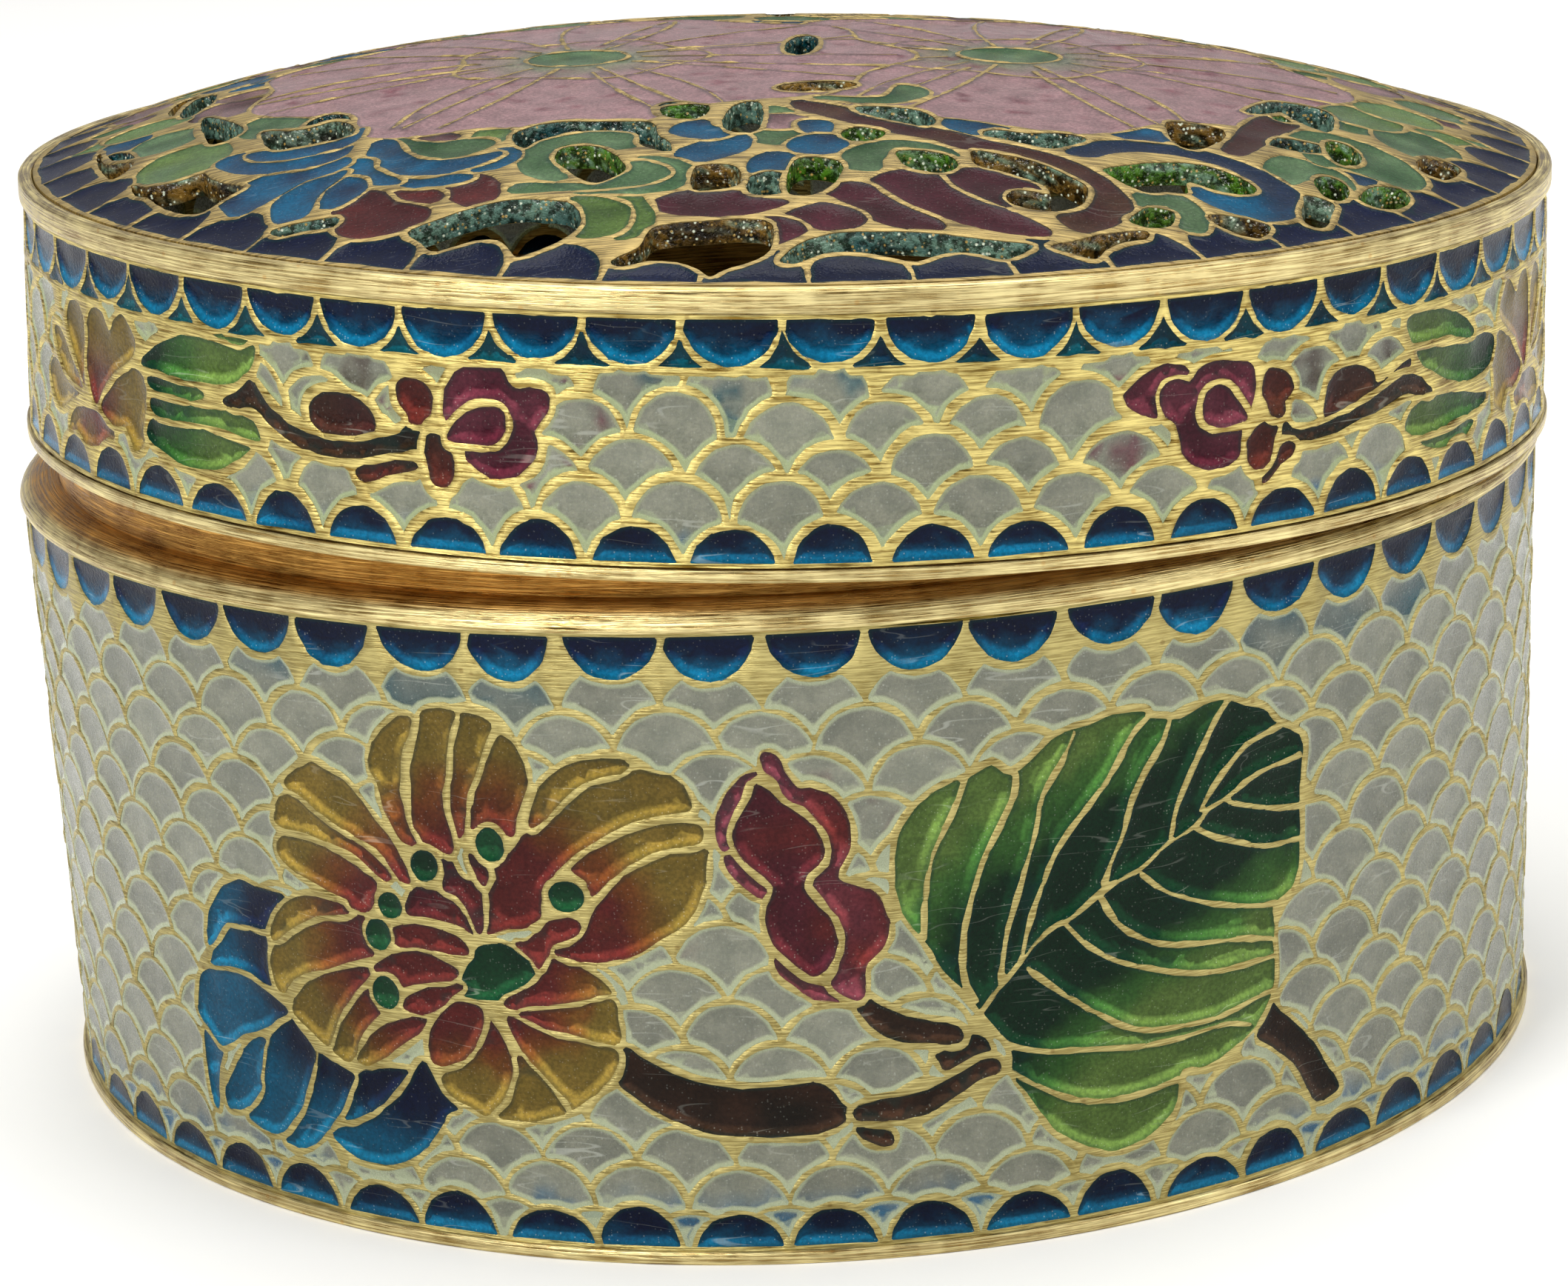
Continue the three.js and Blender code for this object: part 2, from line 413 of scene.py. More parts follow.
@dataclass
class Drawing:
    """A flat panel as a raster of how deep each place lies inside a cell, in millimetres."""

    chart: Chart
    step: float = 0.1
    reach: float = 1.3
    cells: list[tuple[Kind, Tint]] = field(default_factory=list)

    def __post_init__(self) -> None:
        """Lay out the empty raster."""
        edge = self.chart.edge()
        self.low = edge.min(0) - self.step
        size = ((edge.max(0) - self.low) / self.step).astype(int) + 3
        self.room = np.full((size[1], size[0]), -self.reach)
        self.owner = np.full(self.room.shape, -1, np.int32)

    def window(self, low: Points, high: Points) -> tuple[tuple[slice, slice], Points]:
        """Part of the raster between two corners, and its places."""
        first = np.maximum(((low - self.reach - self.low) / self.step).astype(int), 0)
        last = np.minimum(((high + self.reach - self.low) / self.step).astype(int) + 2, self.room.shape[::-1])
        last = np.maximum(last, first)
        across, up = np.meshgrid(np.arange(first[0], last[0]), np.arange(first[1], last[1]))
        places = self.low + np.stack([across.ravel(), up.ravel()], 1) * self.step
        return (slice(first[1], last[1]), slice(first[0], last[0])), places

    def lay(self, shape: Shape, low: Points, high: Points, kind: Kind, tint: Tint, wire: float = 0.32) -> None:
        """Add a cell, which stays a wire's width away from the cells that are there.

        Args:
            shape: Gives how deep places lie inside the cell.
            low: Lower left corner of the cell.
            high: Upper right corner of the cell.
            kind: What fills the cell.
            tint: Its colour.
            wire: Width of the wire towards its neighbours.
        """
        part, places = self.window(np.array(low), np.array(high))
        old = self.room[part]
        if not old.size:
            return
        new = np.minimum(shape(places).reshape(old.shape), -old - wire)
        better = new > old
        self.room[part] = np.where(better, new, old)
        self.owner[part] = np.where(better, len(self.cells), self.owner[part])
        self.cells.append((kind, tint))

    def outline(self, line: Points, kind: Kind, tint: Tint, wire: float = 0.32, grow: float = 0.0,
                veins: tuple[Points, ...] = (), vein: float = 0.3) -> None:
        """Add a cell from its outline, cut up by vein wires."""

        def shape(places: Points) -> np.ndarray:
            """Depth inside the outline, less the veins."""
            depth = line_distance(places, line, closed=True) * np.where(within(places, line), 1, -1) + grow
            for one in veins:
                depth = np.minimum(depth, line_distance(places, one) - vein / 2)
            return depth

        self.lay(shape, line.min(0) - grow, line.max(0) + grow, kind, tint, wire)

    def named(self, lines: dict[str, Points], tints: dict[str, Tint], kind: Kind, wire: float, grow: float) -> None:
        """Add a cell for each named line, in the tint that its name begins with."""
        for name, line in lines.items():
            self.outline(soften(line), kind, tints[name.split("_")[0]], wire, grow)

    def disc(self, centre: Points, radius: float, kind: Kind, tint: Tint, wire: float = 0.32,
             stretch: float = 1.0) -> None:
        """Add a round cell, or an upright oval one."""
        centre = np.array(centre, float)
        size = np.array([radius, radius * stretch])

        def shape(places: Points) -> np.ndarray:
            """Depth inside the oval."""
            return radius - np.hypot(*((places - centre) / (1, stretch)).T)

        self.lay(shape, centre - size, centre + size, kind, tint, wire)

    def scallop(self, foot: Points, inward: Points, width: float, height: float, tint: Tint,
                wire: float = 0.34) -> None:
        """Add a half-round navy cell that stands on a straight side.

        Args:
            foot: Middle of the straight side.
            inward: Direction that the cell stands in.
            width: Length of the straight side.
            height: How far the cell reaches.
            tint: Its colour.
            wire: Width of the wire round it.
        """
        foot, inward = np.array(foot, float), np.array(inward, float)
        across = np.array([inward[1], -inward[0]])

        def shape(places: Points) -> np.ndarray:
            """Depth inside the half-round."""
            side, up = (places - foot) @ across, (places - foot) @ inward
            round_part = (1 - np.hypot(side / (width / 2), up / height)) * min(width / 2, height)
            return np.minimum(round_part, up)

        size = width / 2 + height
        self.lay(shape, foot - size, foot + size, Kind.COLOURED, tint, wire)

    def sample(self, points: Points) -> np.ndarray:
        """Depth inside a cell at any places."""
        place = np.clip((points - self.low) / self.step, 0, np.array(self.room.shape[::-1]) - 1.001)
        cell = place.astype(int)
        part = place - cell
        col, row = cell.T
        lower = self.room[row, col] * (1 - part[:, 0]) + self.room[row, col + 1] * part[:, 0]
        upper = self.room[row + 1, col] * (1 - part[:, 0]) + self.room[row + 1, col + 1] * part[:, 0]
        return lower * (1 - part[:, 1]) + upper * part[:, 1]

    def slope(self, points: Points) -> Points:
        """Direction in which the depth inside a cell grows."""
        reach = 0.12
        grow = np.stack([self.sample(points + (reach, 0)) - self.sample(points - (reach, 0)),
                         self.sample(points + (0, reach)) - self.sample(points - (0, reach))], 1)
        return grow / np.maximum(np.hypot(*grow.T), 1e-6)[:, None]

    def owners(self, points: Points) -> np.ndarray:
        """Number of the cell nearest to each place."""
        col, row = np.clip(np.rint((points - self.low) / self.step).astype(int).T, 0,
                           np.array(self.room.shape[::-1])[:, None] - 1)
        return self.owner[row, col]

    def finish(self, margin: float, ragged: float, seed: int) -> None:
        """Close the drawing with a strip of metal along its edge and make its edges ragged."""
        rows, cols = self.room.shape
        across, up = np.meshgrid(np.arange(cols), np.arange(rows))
        places = self.low + np.stack([across.ravel(), up.ravel()], 1) * self.step
        rough = ripple(places, 0.38, seed) * ragged + ripple(places, 1.4, seed + 1) * ragged
        room = self.room.ravel() + rough
        self.room = np.minimum(room, self.chart.inset(places) - margin).reshape(rows, cols)


@dataclass
class Part:
    """Triangles and what is painted on their corners."""

    corners: Points
    faces: np.ndarray
    flat: Points
    tint: np.ndarray | None = None
    rim: np.ndarray | None = None
    lift: np.ndarray | None = None
    stain: np.ndarray | None = None
    flat_faces: np.ndarray | None = None

    def shown(self, name: str, material: Material, crease: float = 35.0) -> Object:
        """Make the object.

        Args:
            name: Its name.
            material: Its finish.
            crease: Angle in degrees from which an edge stays sharp.

        Returns:
            The object, in the scene.
        """
        mesh = bpy.data.meshes.new(name)
        count = len(self.faces)
        mesh.vertices.add(len(self.corners))
        mesh.vertices.foreach_set("co", self.corners.astype(np.float32).ravel())
        mesh.loops.add(count * 3)
        mesh.loops.foreach_set("vertex_index", self.faces.astype(np.int32).ravel())
        mesh.polygons.add(count)
        mesh.polygons.foreach_set("loop_start", np.arange(0, count * 3, 3, dtype=np.int32))
        mesh.update(calc_edges=True)
        uv = mesh.uv_layers.new(name="flat")
        spread = self.faces if self.flat_faces is None else self.flat_faces
        uv.data.foreach_set("uv", self.flat[spread.ravel()].astype(np.float32).ravel())
        if self.tint is not None:
            paint = mesh.color_attributes.new("tint", "FLOAT_COLOR", "POINT")
            rgba = np.hstack([self.tint, np.ones((len(self.tint), 1))])
            paint.data.foreach_set("color", rgba.astype(np.float32).ravel())
        for label, values in (("rim", self.rim), ("lift", self.lift), ("stain", self.stain)):
            if values is not None:
                mesh.attributes.new(label, "FLOAT", "POINT").data.foreach_set("value", values.astype(np.float32))
        mesh.validate()
        mesh.shade_smooth()
        mesh.set_sharp_from_angle(angle=math.radians(crease))
        mesh.materials.append(material)
        made = bpy.data.objects.new(name, mesh)
        bpy.context.scene.collection.objects.link(made)
        LOG.info("%s: %d triangles", name, count)
        return made


def open_edges(faces: np.ndarray) -> np.ndarray:
    """Edges that only one of the triangles has, in that triangle's direction."""
    edges = np.vstack([faces[:, [0, 1]], faces[:, [1, 2]], faces[:, [2, 0]]])
    key = np.sort(edges, 1)
    code = key[:, 0].astype(np.int64) * (int(faces.max()) + 1) + key[:, 1]
    _, back, count = np.unique(code, return_inverse=True, return_counts=True)
    return edges[count[back] == 1]


@dataclass
class Panel:
    """Turns a drawing into wirework, enamel and the sides of its openings.

    Depths are below the outer face. An "error" is how far a line may stray when it is thinned.

    Attributes:
        drawing: What is built.
        spacing: Distance between loose corners.
        bevel: Width of a wire's rounded side.
        tuck: How far the enamel reaches into a wire.
        back_gap: How far the enamel's back lies inside the wires' backs.
        shore: Distance of a cell's extra row of corners from its edge.
        back_from: Distance round a wall from which it faces away from the camera.
        back_error: Factor on an error there.
        row_ratio: Distance between rows of loose corners, in spacings.
        jitter: How far loose corners stray, in spacings.
        probe: How far inside a cell its colour is read.
        lift_room: Width of the strip that has a painted band of light above a wire.
        levels: Depths of the rings of an opening's sides, in thicknesses.
    """

    drawing: Drawing
    spacing: float = 0.5
    bevel: float = 0.09
    wire_top: float = 0.02
    wire_edge: float = 0.07
    fill: float = 0.07
    sag: float = 0.13
    tuck: float = 0.03
    back_gap: float = 0.08
    loop_error: float = 0.017
    crest_error: float = 0.024
    shore: float = 0.2
    shore_error: float = 0.03
    least_area: float = 0.14
    back_from: float = 62.0
    back_error: float = 1.6
    row_ratio: float = 0.87
    jitter: float = 0.12
    clear_inside: float = 0.34
    clear_outside: float = 0.3
    clear_margin: float = 0.15
    probe: float = 0.12
    side_room: float = 0.03
    near_room: float = 0.15
    lift_room: float = 0.9
    levels: tuple[float, ...] = (0.1, 0.3, 0.5, 0.72, 0.98)

    def thin(self, line: Points, error: float) -> Points:
        """Thin a line, more so on the side of a wall that faces away."""
        away = isinstance(self.drawing.chart, WallChart) and abs(line[:, 0].mean()) > self.back_from
        return thinned(line, error * (self.back_error if away else 1.0))

    def triangulate(self) -> None:
        """Triangulate the drawing along the edges of its cells."""
        drawing, chart = self.drawing, self.drawing.chart
        loops = [self.thin(line, self.loop_error) for line in contours(drawing.room, 0.0, drawing.low, drawing.step)]
        loops = [line for line in loops if len(line) > 3 and abs(enclosed(line)) > self.least_area]
        islands = [enclosed(line) < 0 for line in loops]
        crests = [self.thin(line, self.crest_error)
                  for line in contours(drawing.room, -self.bevel, drawing.low, drawing.step)]
        crests = [line for line in crests if len(line) > 3]
        shores = [thinned(line, self.shore_error)
                  for line in contours(drawing.room, self.shore, drawing.low, drawing.step)]
        edge = chart.edge()
        low, high = edge.min(0), edge.max(0)
        across, up = np.meshgrid(np.arange(low[0], high[0], self.spacing),
                                 np.arange(low[1], high[1], self.spacing * self.row_ratio))
        across[::2] += self.spacing / 2
        grid = np.stack([across.ravel(), up.ravel()], 1)
        grid += self.jitter * self.spacing * np.stack([ripple(grid, 0.31, 5), ripple(grid, 0.31, 6)], 1)
        depth = drawing.sample(grid)
        clear = (depth > self.clear_inside) | (depth < -self.clear_outside)
        grid = grid[clear & (chart.inset(grid) > self.clear_margin)]
        chains = [edge, *(loop[::-1] if island else loop for loop, island in zip(loops, islands)), *crests]
        loose = np.vstack([*shores, grid]) if shores else grid
        points = np.vstack([*chains, loose])
        faces, edges, start = [], [], 0
        for number, chain in enumerate(chains):
            run = list(range(start, start + len(chain)))
            if number <= len(loops):
                faces.append(run)
            else:
                edges += list(zip(run, run[1:] + run[:1]))
            start += len(chain)
        made = delaunay_2d_cdt([Vector(p) for p in points.tolist()], edges, faces, 1, 1e-5, True)
        self.flat = np.array([tuple(p) for p in made[0]])
        self.faces = np.array([f for f in made[2]])
        labels = []
        for loop in loops:
            inside = loop + drawing.slope(loop) * self.probe
            numbers = drawing.owners(inside)
            labels.append(int(np.bincount(numbers[numbers >= 0]).argmax()) if (numbers >= 0).any() else -1)
        sizes = [abs(enclosed(loop)) for loop in loops]
        owner = []
        for parents in made[5]:
            inner = min((p - 1 for p in parents if p > 0), key=sizes.__getitem__, default=-1)
            owner.append(-1 if inner < 0 or islands[inner] else labels[inner])
        self.owner = np.array(owner)

    def build(self, name: str, gilt: Material, enamels: dict[Kind, Material],
              sides: Material | None = None) -> list[Object]:
        """Make the panel's objects.

        Args:
            name: First part of their names.
            gilt: Finish of the wirework.
            enamels: Finish of each kind of cell.
            sides: Finish of the sides of openings.

        Returns:
            The objects.
        """
        self.triangulate()
        drawing, chart = self.drawing, self.drawing.chart
        depth = drawing.sample(self.flat)
        metal = self.faces[self.owner < 0]
        made = [self.wirework(name, metal, depth, gilt)]
        is_open = np.array([kind is Kind.OPEN for kind, _ in drawing.cells] + [False])
        for kind, material in enamels.items():
            chosen = np.array([one is kind for one, _ in drawing.cells] + [False])[self.owner]
            chosen &= self.owner >= 0
            if chosen.any():
                made.append(self.enamel(f"{name}_{kind.value}_enamel", chosen, depth, material))
        opened = is_open[self.owner] & (self.owner >= 0)
        if sides is not None and opened.any():
            made.append(self.opening_sides(f"{name}_opening_sides", opened, sides))
        LOG.info("%s: %d cells drawn", name, len(drawing.cells))
        return made

    def compact(self, faces: np.ndarray) -> tuple[np.ndarray, np.ndarray]:
        """Number the corners of some triangles from nought. Returns the corners used and the triangles."""
        used, inverse = np.unique(faces, return_inverse=True)
        return used, inverse.reshape(faces.shape)

    def wirework(self, name: str, metal: np.ndarray, depth: np.ndarray,
                 material: Material) -> Object:
        """Make the metal: a crowned top, upright sides and a flat back."""
        used, faces = self.compact(metal)
        flat, room = self.flat[used], depth[used]
        low = self.wire_top + (self.wire_edge - self.wire_top) * ease(room, -self.bevel, 0.0)
        low = low + 0.008 * ripple(flat, 0.9, 41)
        thickness = self.drawing.chart.thickness
        front = self.drawing.chart.placed(flat, low)
        back = self.drawing.chart.placed(flat, np.full(len(flat), thickness))
        part = self.closed(faces, front, back, flat, None, np.clip(-room, 0, 1), None)
        return part.shown(name + "_wirework", material)

    def closed(self, faces: np.ndarray, front: Points, back: Points, flat: Points, tint: np.ndarray | None,
               rim: np.ndarray, lift: np.ndarray | None) -> Part:
        """Join a front, a back and the sides between them."""
        count = len(front)
        rims = open_edges(faces)
        sides = np.vstack([np.stack([rims[:, 0], rims[:, 0] + count, rims[:, 1]], 1),
                           np.stack([rims[:, 1], rims[:, 0] + count, rims[:, 1] + count], 1)])
        every = np.vstack([faces, faces[:, ::-1] + count, sides])
        double = [None if a is None else np.concatenate([a, a]) for a in (tint, rim, lift)]
        return Part(np.vstack([front, back]), every, np.vstack([flat, flat]), *double)

    def enamel(self, name: str, chosen: np.ndarray, depth: np.ndarray,
               material: Material) -> Object:
        """Make the enamel of some cells: a sagging front, a back, and sides tucked into the wires."""
        drawing = self.drawing
        (index, number), all_faces = self.corners_by_cell(chosen)
        flat, room = self.flat[index], np.maximum(depth[index], 0)
        slope = drawing.slope(flat)
        edge = room < self.side_room
        inner = flat + slope * np.where(room < self.near_room, self.probe, 0.0)[:, None]
        tint = np.zeros((len(flat), 3))
        there = drawing.owners(inner)
        kinds = np.array([list(Kind).index(kind) for kind, _ in drawing.cells] + [-1])
        number = np.where(kinds[there] == kinds[number], there, number)
        for cell in np.unique(number):
            rows = number == cell
            tint[rows] = drawing.cells[cell][1].at(inner[rows])
        tint = self.stained(tint, inner, number)
        flat = flat - slope * np.where(edge, self.tuck, 0.0)[:, None]
        low = self.fill + self.sag * (1 - np.exp(-room / 0.3)) + 0.02 * ripple(flat, 0.8, 23)
        low = low + 0.012 * ripple(flat, 0.33, 29)
        thickness = drawing.chart.thickness
        front = drawing.chart.placed(flat, low)
        back = drawing.chart.placed(flat, np.full(len(flat), thickness - self.back_gap))
        # rim and lift tell the finish where to paint the band of light above a wire and the edge line of painted
        # light and shade round a cell.
        part = self.closed(all_faces, front, back, flat, tint, room, slope[:, 1] * (room < self.lift_room))
        return part.shown(name, material, 60)

    def stained(self, tint: np.ndarray, places: Points, number: np.ndarray) -> np.ndarray:
        """Let a cell's colour vary from its neighbours' a little."""
        shade = 1 + 0.12 * np.sin(number * 12.9898) + 0.1 * ripple(places, 0.9, 67)
        return np.clip(tint * shade[:, None], 0, 1)

    def corners_by_cell(self, chosen: np.ndarray) -> tuple[tuple[np.ndarray, np.ndarray], np.ndarray]:
        """Give each cell its own corners.

        Args:
            chosen: True for the triangles taken.

        Returns:
            The corner and cell of each new corner, and the triangles between new corners.
        """
        faces, owner = self.faces[chosen], self.owner[chosen]
        code = faces.astype(np.int64) * (len(self.drawing.cells) + 1) + owner[:, None]
        codes, inverse = np.unique(code, return_inverse=True)
        split = (codes // (len(self.drawing.cells) + 1), codes % (len(self.drawing.cells) + 1))
        return split, inverse.reshape(faces.shape)

    def opening_sides(self, name: str, opened: np.ndarray, material: Material) -> Object:
        """Make the rough coloured sides of the openings, with pale spots of painted highlight."""
        rims = open_edges(self.faces[opened])
        owner = {}
        for face, number in zip(self.faces[opened].tolist(), self.owner[opened].tolist()):
            for corner in face:
                owner[corner] = number
        used, inverse = np.unique(rims, return_inverse=True)
        rims = inverse.reshape(rims.shape)
        flat = self.flat[used]
        number = np.array([owner[c] for c in used.tolist()])
        slope = self.drawing.slope(flat)
        chart = self.drawing.chart
        dark, pale = np.array(Hue.SOOT.value), np.array(Hue.ICE.value)
        corners, tints, flats, faces = [], [], [], []
        for ring, depth in enumerate(self.levels):
            bulge = 0.05 + 0.06 * ripple(np.hstack([flat, np.full((len(flat), 1), depth)]), 0.25, 77)
            bulge = bulge if 0 < ring < len(self.levels) - 1 else np.zeros(len(flat)) + 0.01
            moved = flat + slope * bulge[:, None]
            corners.append(chart.placed(moved, np.full(len(flat), depth * chart.thickness)))
            hue = np.array([self.drawing.cells[n][1].at(f[None] + (0, depth * 2))[0] for n, f in zip(number, flat)])
            # Pale spots are painted highlights; dark spots are darker patches.
            spot = ripple(flat + (0, depth * 3), 0.4, 55)[:, None]
            hue = hue + (pale - hue) * ease(spot, 0.2, 0.8) + (dark - hue) * ease(-spot, 0.35, 0.9)
            tints.append(hue)
            flats.append(flat + (0, depth))
            if ring:
                a, b = rims.T + (ring - 1) * len(flat)
                c, d = rims.T + ring * len(flat)
                faces += [np.stack([a, b, c], 1), np.stack([b, d, c], 1)]
        part = Part(np.vstack(corners), np.vstack(faces), np.vstack(flats), np.clip(np.vstack(tints), 0, 1))
        return part.shown(name, material, 25)


@dataclass(frozen=True)
class Ring:
    """A turned ring of gilt metal with the small unevenness of hand work."""

    profile: tuple[tuple[float, float], ...]
    place: Matrix = field(default_factory=Matrix)
    around: int = 320
    wobble: float = 0.025
    seed: int = 3
    stain: tuple[float, ...] = ()

    def part(self) -> Part:
        """Turn the profile, which runs anticlockwise as seen from +Y, about the upright axis."""
        line = np.array(self.profile)
        steps = len(line)
        angle = np.arange(self.around + 1) * TURN / self.around
        radius = np.tile(line[:, 0], self.around + 1)
        height = np.tile(line[:, 1], self.around + 1)
        turn = np.repeat(angle - math.pi, steps)
        spot = np.stack([radius * np.sin(turn), -radius * np.cos(turn), height], 1)
        shift = self.wobble * (ripple(spot, 2.6, self.seed) - 1) / 2
        shift = shift + 0.25 * self.wobble * (ripple(spot, 0.7, self.seed + 1) - 1)
        radius = radius + shift
        height = height + 0.3 * shift * (height > height.min() + 1e-6)
        spot = np.stack([radius * np.sin(turn), -radius * np.cos(turn), height], 1)
        along = np.concatenate([[0], np.cumsum(np.hypot(*np.diff(line, axis=0).T))])
        flat = np.stack([turn * radius, np.tile(along, self.around + 1)], 1)
        corners = carried(spot, self.place)
        corners[-steps:] = corners[:steps]
        first = np.arange(self.around)[:, None] * steps
        here, there = np.arange(steps), np.roll(np.arange(steps), -1)
        a, b = (first + here).ravel(), (first + there).ravel()
        c, d = a + steps, b + steps
        faces = np.vstack([np.stack([a, c, b], 1), np.stack([b, c, d], 1)])
        last = self.around * steps
        welded = np.where(faces >= last, faces - last, faces)
        # Per-corner darkening; on the body's rim it holds painted shade in the recess under the lid.
        stain = np.tile(self.stain, self.around) if self.stain else None
        return Part(corners[:last], welded, flat, stain=stain, flat_faces=faces)


def rounded(profile: list[tuple[float, float]], radius: float, steps: int = 3) -> list[tuple[float, float]]:
    """Round every corner of a closed profile."""
    line = np.array(profile, float)
    done = []
    for before, here, after in zip(np.roll(line, 1, 0), line, np.roll(line, -1, 0)):
        back, on = before - here, after - here
        reach_back, reach_on = (min(radius, 0.45 * math.hypot(*v)) for v in (back, on))
        first = here + back / math.hypot(*back) * reach_back
        last = here + on / math.hypot(*on) * reach_on
        for share in np.linspace(0, 1, steps + 1):
            done.append(tuple((1 - share) ** 2 * first + 2 * share * (1 - share) * here + share**2 * last))
    return done


@dataclass
class Graph:
    """A tree of shader nodes that is written in one line a node."""

    tree: NodeTree

    def add(self, kind: str, inputs: dict | None = None, **settings: object) -> Node:
        """Add a node.

        Args:
            kind: Blender's name for the node without "ShaderNode".
            inputs: Values or sockets by the name or number of the input.
            settings: Other properties of the node.

        Returns:
            The node.
        """
        node = self.tree.nodes.new("ShaderNode" + kind)
        for name, value in settings.items():
            setattr(node, name, value)
        for key, value in (inputs or {}).items():
            if isinstance(value, NodeSocket):
                self.tree.links.new(value, node.inputs[key])
            else:
                node.inputs[key].default_value = value
        return node

    def math(self, operation: str, first: object, second: object = 0.0, third: object = 0.0) -> NodeSocket:
        """Calculate with one to three values."""
        return self.add("Math", {0: first, 1: second, 2: third}, operation=operation).outputs[0]

    def ramp(self, value: object, low: float, high: float, start: float = 0.0,
             end: float = 1.0) -> NodeSocket:
        """Map a range of values to another, smoothly and clamped."""
        node = self.add("MapRange", {"Value": value, 1: low, 2: high, 3: start, 4: end},
                        interpolation_type="SMOOTHSTEP")
        return node.outputs["Result"]

    def mix(self, share: object, first: object, second: object, blend: str = "MIX") -> NodeSocket:
        """Mix two colours."""
        node = self.add("Mix", {0: share}, data_type="RGBA", blend_type=blend)
        for key, value in ((6, first), (7, second)):
            if isinstance(value, NodeSocket):
                self.tree.links.new(value, node.inputs[key])
            else:
                node.inputs[key].default_value = (*value, 1.0)
        return node.outputs[2]


def effect(name: str, inputs: dict[str, float], outputs: list[str],
           build: Callable[[Graph, dict, dict], None]) -> NodeTree:
    """Make a group of shader nodes, once.

    Args:
        name: Name of the group.
        inputs: Names of its inputs and their usual values.
        outputs: Names of its outputs.
        build: Adds the nodes, given the graph, the input sockets and a table to fill with outputs.

    Returns:
        The group.
    """
    if name in bpy.data.node_groups:
        return bpy.data.node_groups[name]
    tree = bpy.data.node_groups.new(name, "ShaderNodeTree")
    for label, value in inputs.items():
        tree.interface.new_socket(label, in_out="INPUT", socket_type="NodeSocketFloat").default_value = value
    for label in outputs:
        tree.interface.new_socket(label, in_out="OUTPUT", socket_type="NodeSocketFloat")
    graph = Graph(tree)
    source, target = tree.nodes.new("NodeGroupInput"), tree.nodes.new("NodeGroupOutput")
    made: dict[str, NodeSocket] = {}
    build(graph, {label: source.outputs[label] for label in inputs}, made)
    for label, socket in made.items():
        tree.links.new(socket, target.inputs[label])
    return tree


def brushing() -> NodeTree:
    """Fine lines left by polishing along the drawing's first direction."""

    def build(graph: Graph, given: dict, made: dict) -> None:
        """Add the group's nodes."""
        flat = graph.add("UVMap", uv_map="flat").outputs[0]
        stretch = graph.add("CombineXYZ", {0: given["Along"], 1: given["Across"], 2: 1.0}).outputs[0]
        place = graph.add("VectorMath", {0: flat, 1: stretch}, operation="MULTIPLY").outputs[0]
        noise = graph.add("TexNoise", {"Vector": place, "Scale": 1.0, "Detail": 3.0, "Roughness": 0.62})
        made["Lines"] = graph.ramp(noise.outputs[0], 0.36, 0.64)

    return effect("brushing", {"Along": 0.35, "Across": 7.0}, ["Lines"], build)


def grit() -> NodeTree:
    """Small round specks scattered over the drawing."""

    def build(graph: Graph, given: dict, made: dict) -> None:
        """Add the group's nodes."""
        flat = graph.add("UVMap", uv_map="flat").outputs[0]
        speck = graph.add("TexVoronoi", {"Vector": flat, "Scale": given["Density"], "Randomness": 1.0})
        near = graph.ramp(speck.outputs["Distance"], 0.14, 0.36, 1.0, 0.0)
        chance = graph.add("SeparateColor", {0: speck.outputs["Color"]}).outputs[0]
        chosen = graph.math("LESS_THAN", chance, given["Share"])
        made["Specks"] = graph.math("MULTIPLY", near, chosen)

    return effect("grit", {"Density": 6.0, "Share": 0.4}, ["Specks"], build)


def clouding() -> NodeTree:
    """Soft uneven patches."""

    def build(graph: Graph, given: dict, made: dict) -> None:
        """Add the group's nodes."""
        flat = graph.add("UVMap", uv_map="flat").outputs[0]
        noise = graph.add("TexNoise", {"Vector": flat, "Scale": given["Density"], "Detail": 2.0, "Roughness": 0.6})
        made["Patches"] = graph.ramp(noise.outputs[0], 0.32, 0.68)

    return effect("clouding", {"Density": 1.0}, ["Patches"], build)


def hairlines() -> NodeTree:
    """Fine pale scratches and flaws, in places."""

    def build(graph: Graph, given: dict, made: dict) -> None:
        """Add the group's nodes."""
        flat = graph.add("UVMap", uv_map="flat").outputs[0]
        drawn = graph.add("Mapping", {"Vector": flat, "Rotation": (0.0, 0.0, 0.35), "Scale": (0.3, 2.2, 1.0)})
        noise = graph.add("TexNoise", {
            "Vector": drawn.outputs[0], "Scale": given["Density"], "Detail": 2.0, "Distortion": 0.2})
        off = graph.math("ABSOLUTE", graph.math("SUBTRACT", noise.outputs[0], 0.47))
        line = graph.ramp(off, 0.002, 0.01, 1.0, 0.0)
        place = graph.add("TexNoise", {"Vector": flat, "Scale": 0.33, "Detail": 1.0})
        made["Hairs"] = graph.math("MULTIPLY", line, graph.ramp(place.outputs[0], 0.5, 0.62))

    return effect("hairlines", {"Density": 0.4}, ["Hairs"], build)


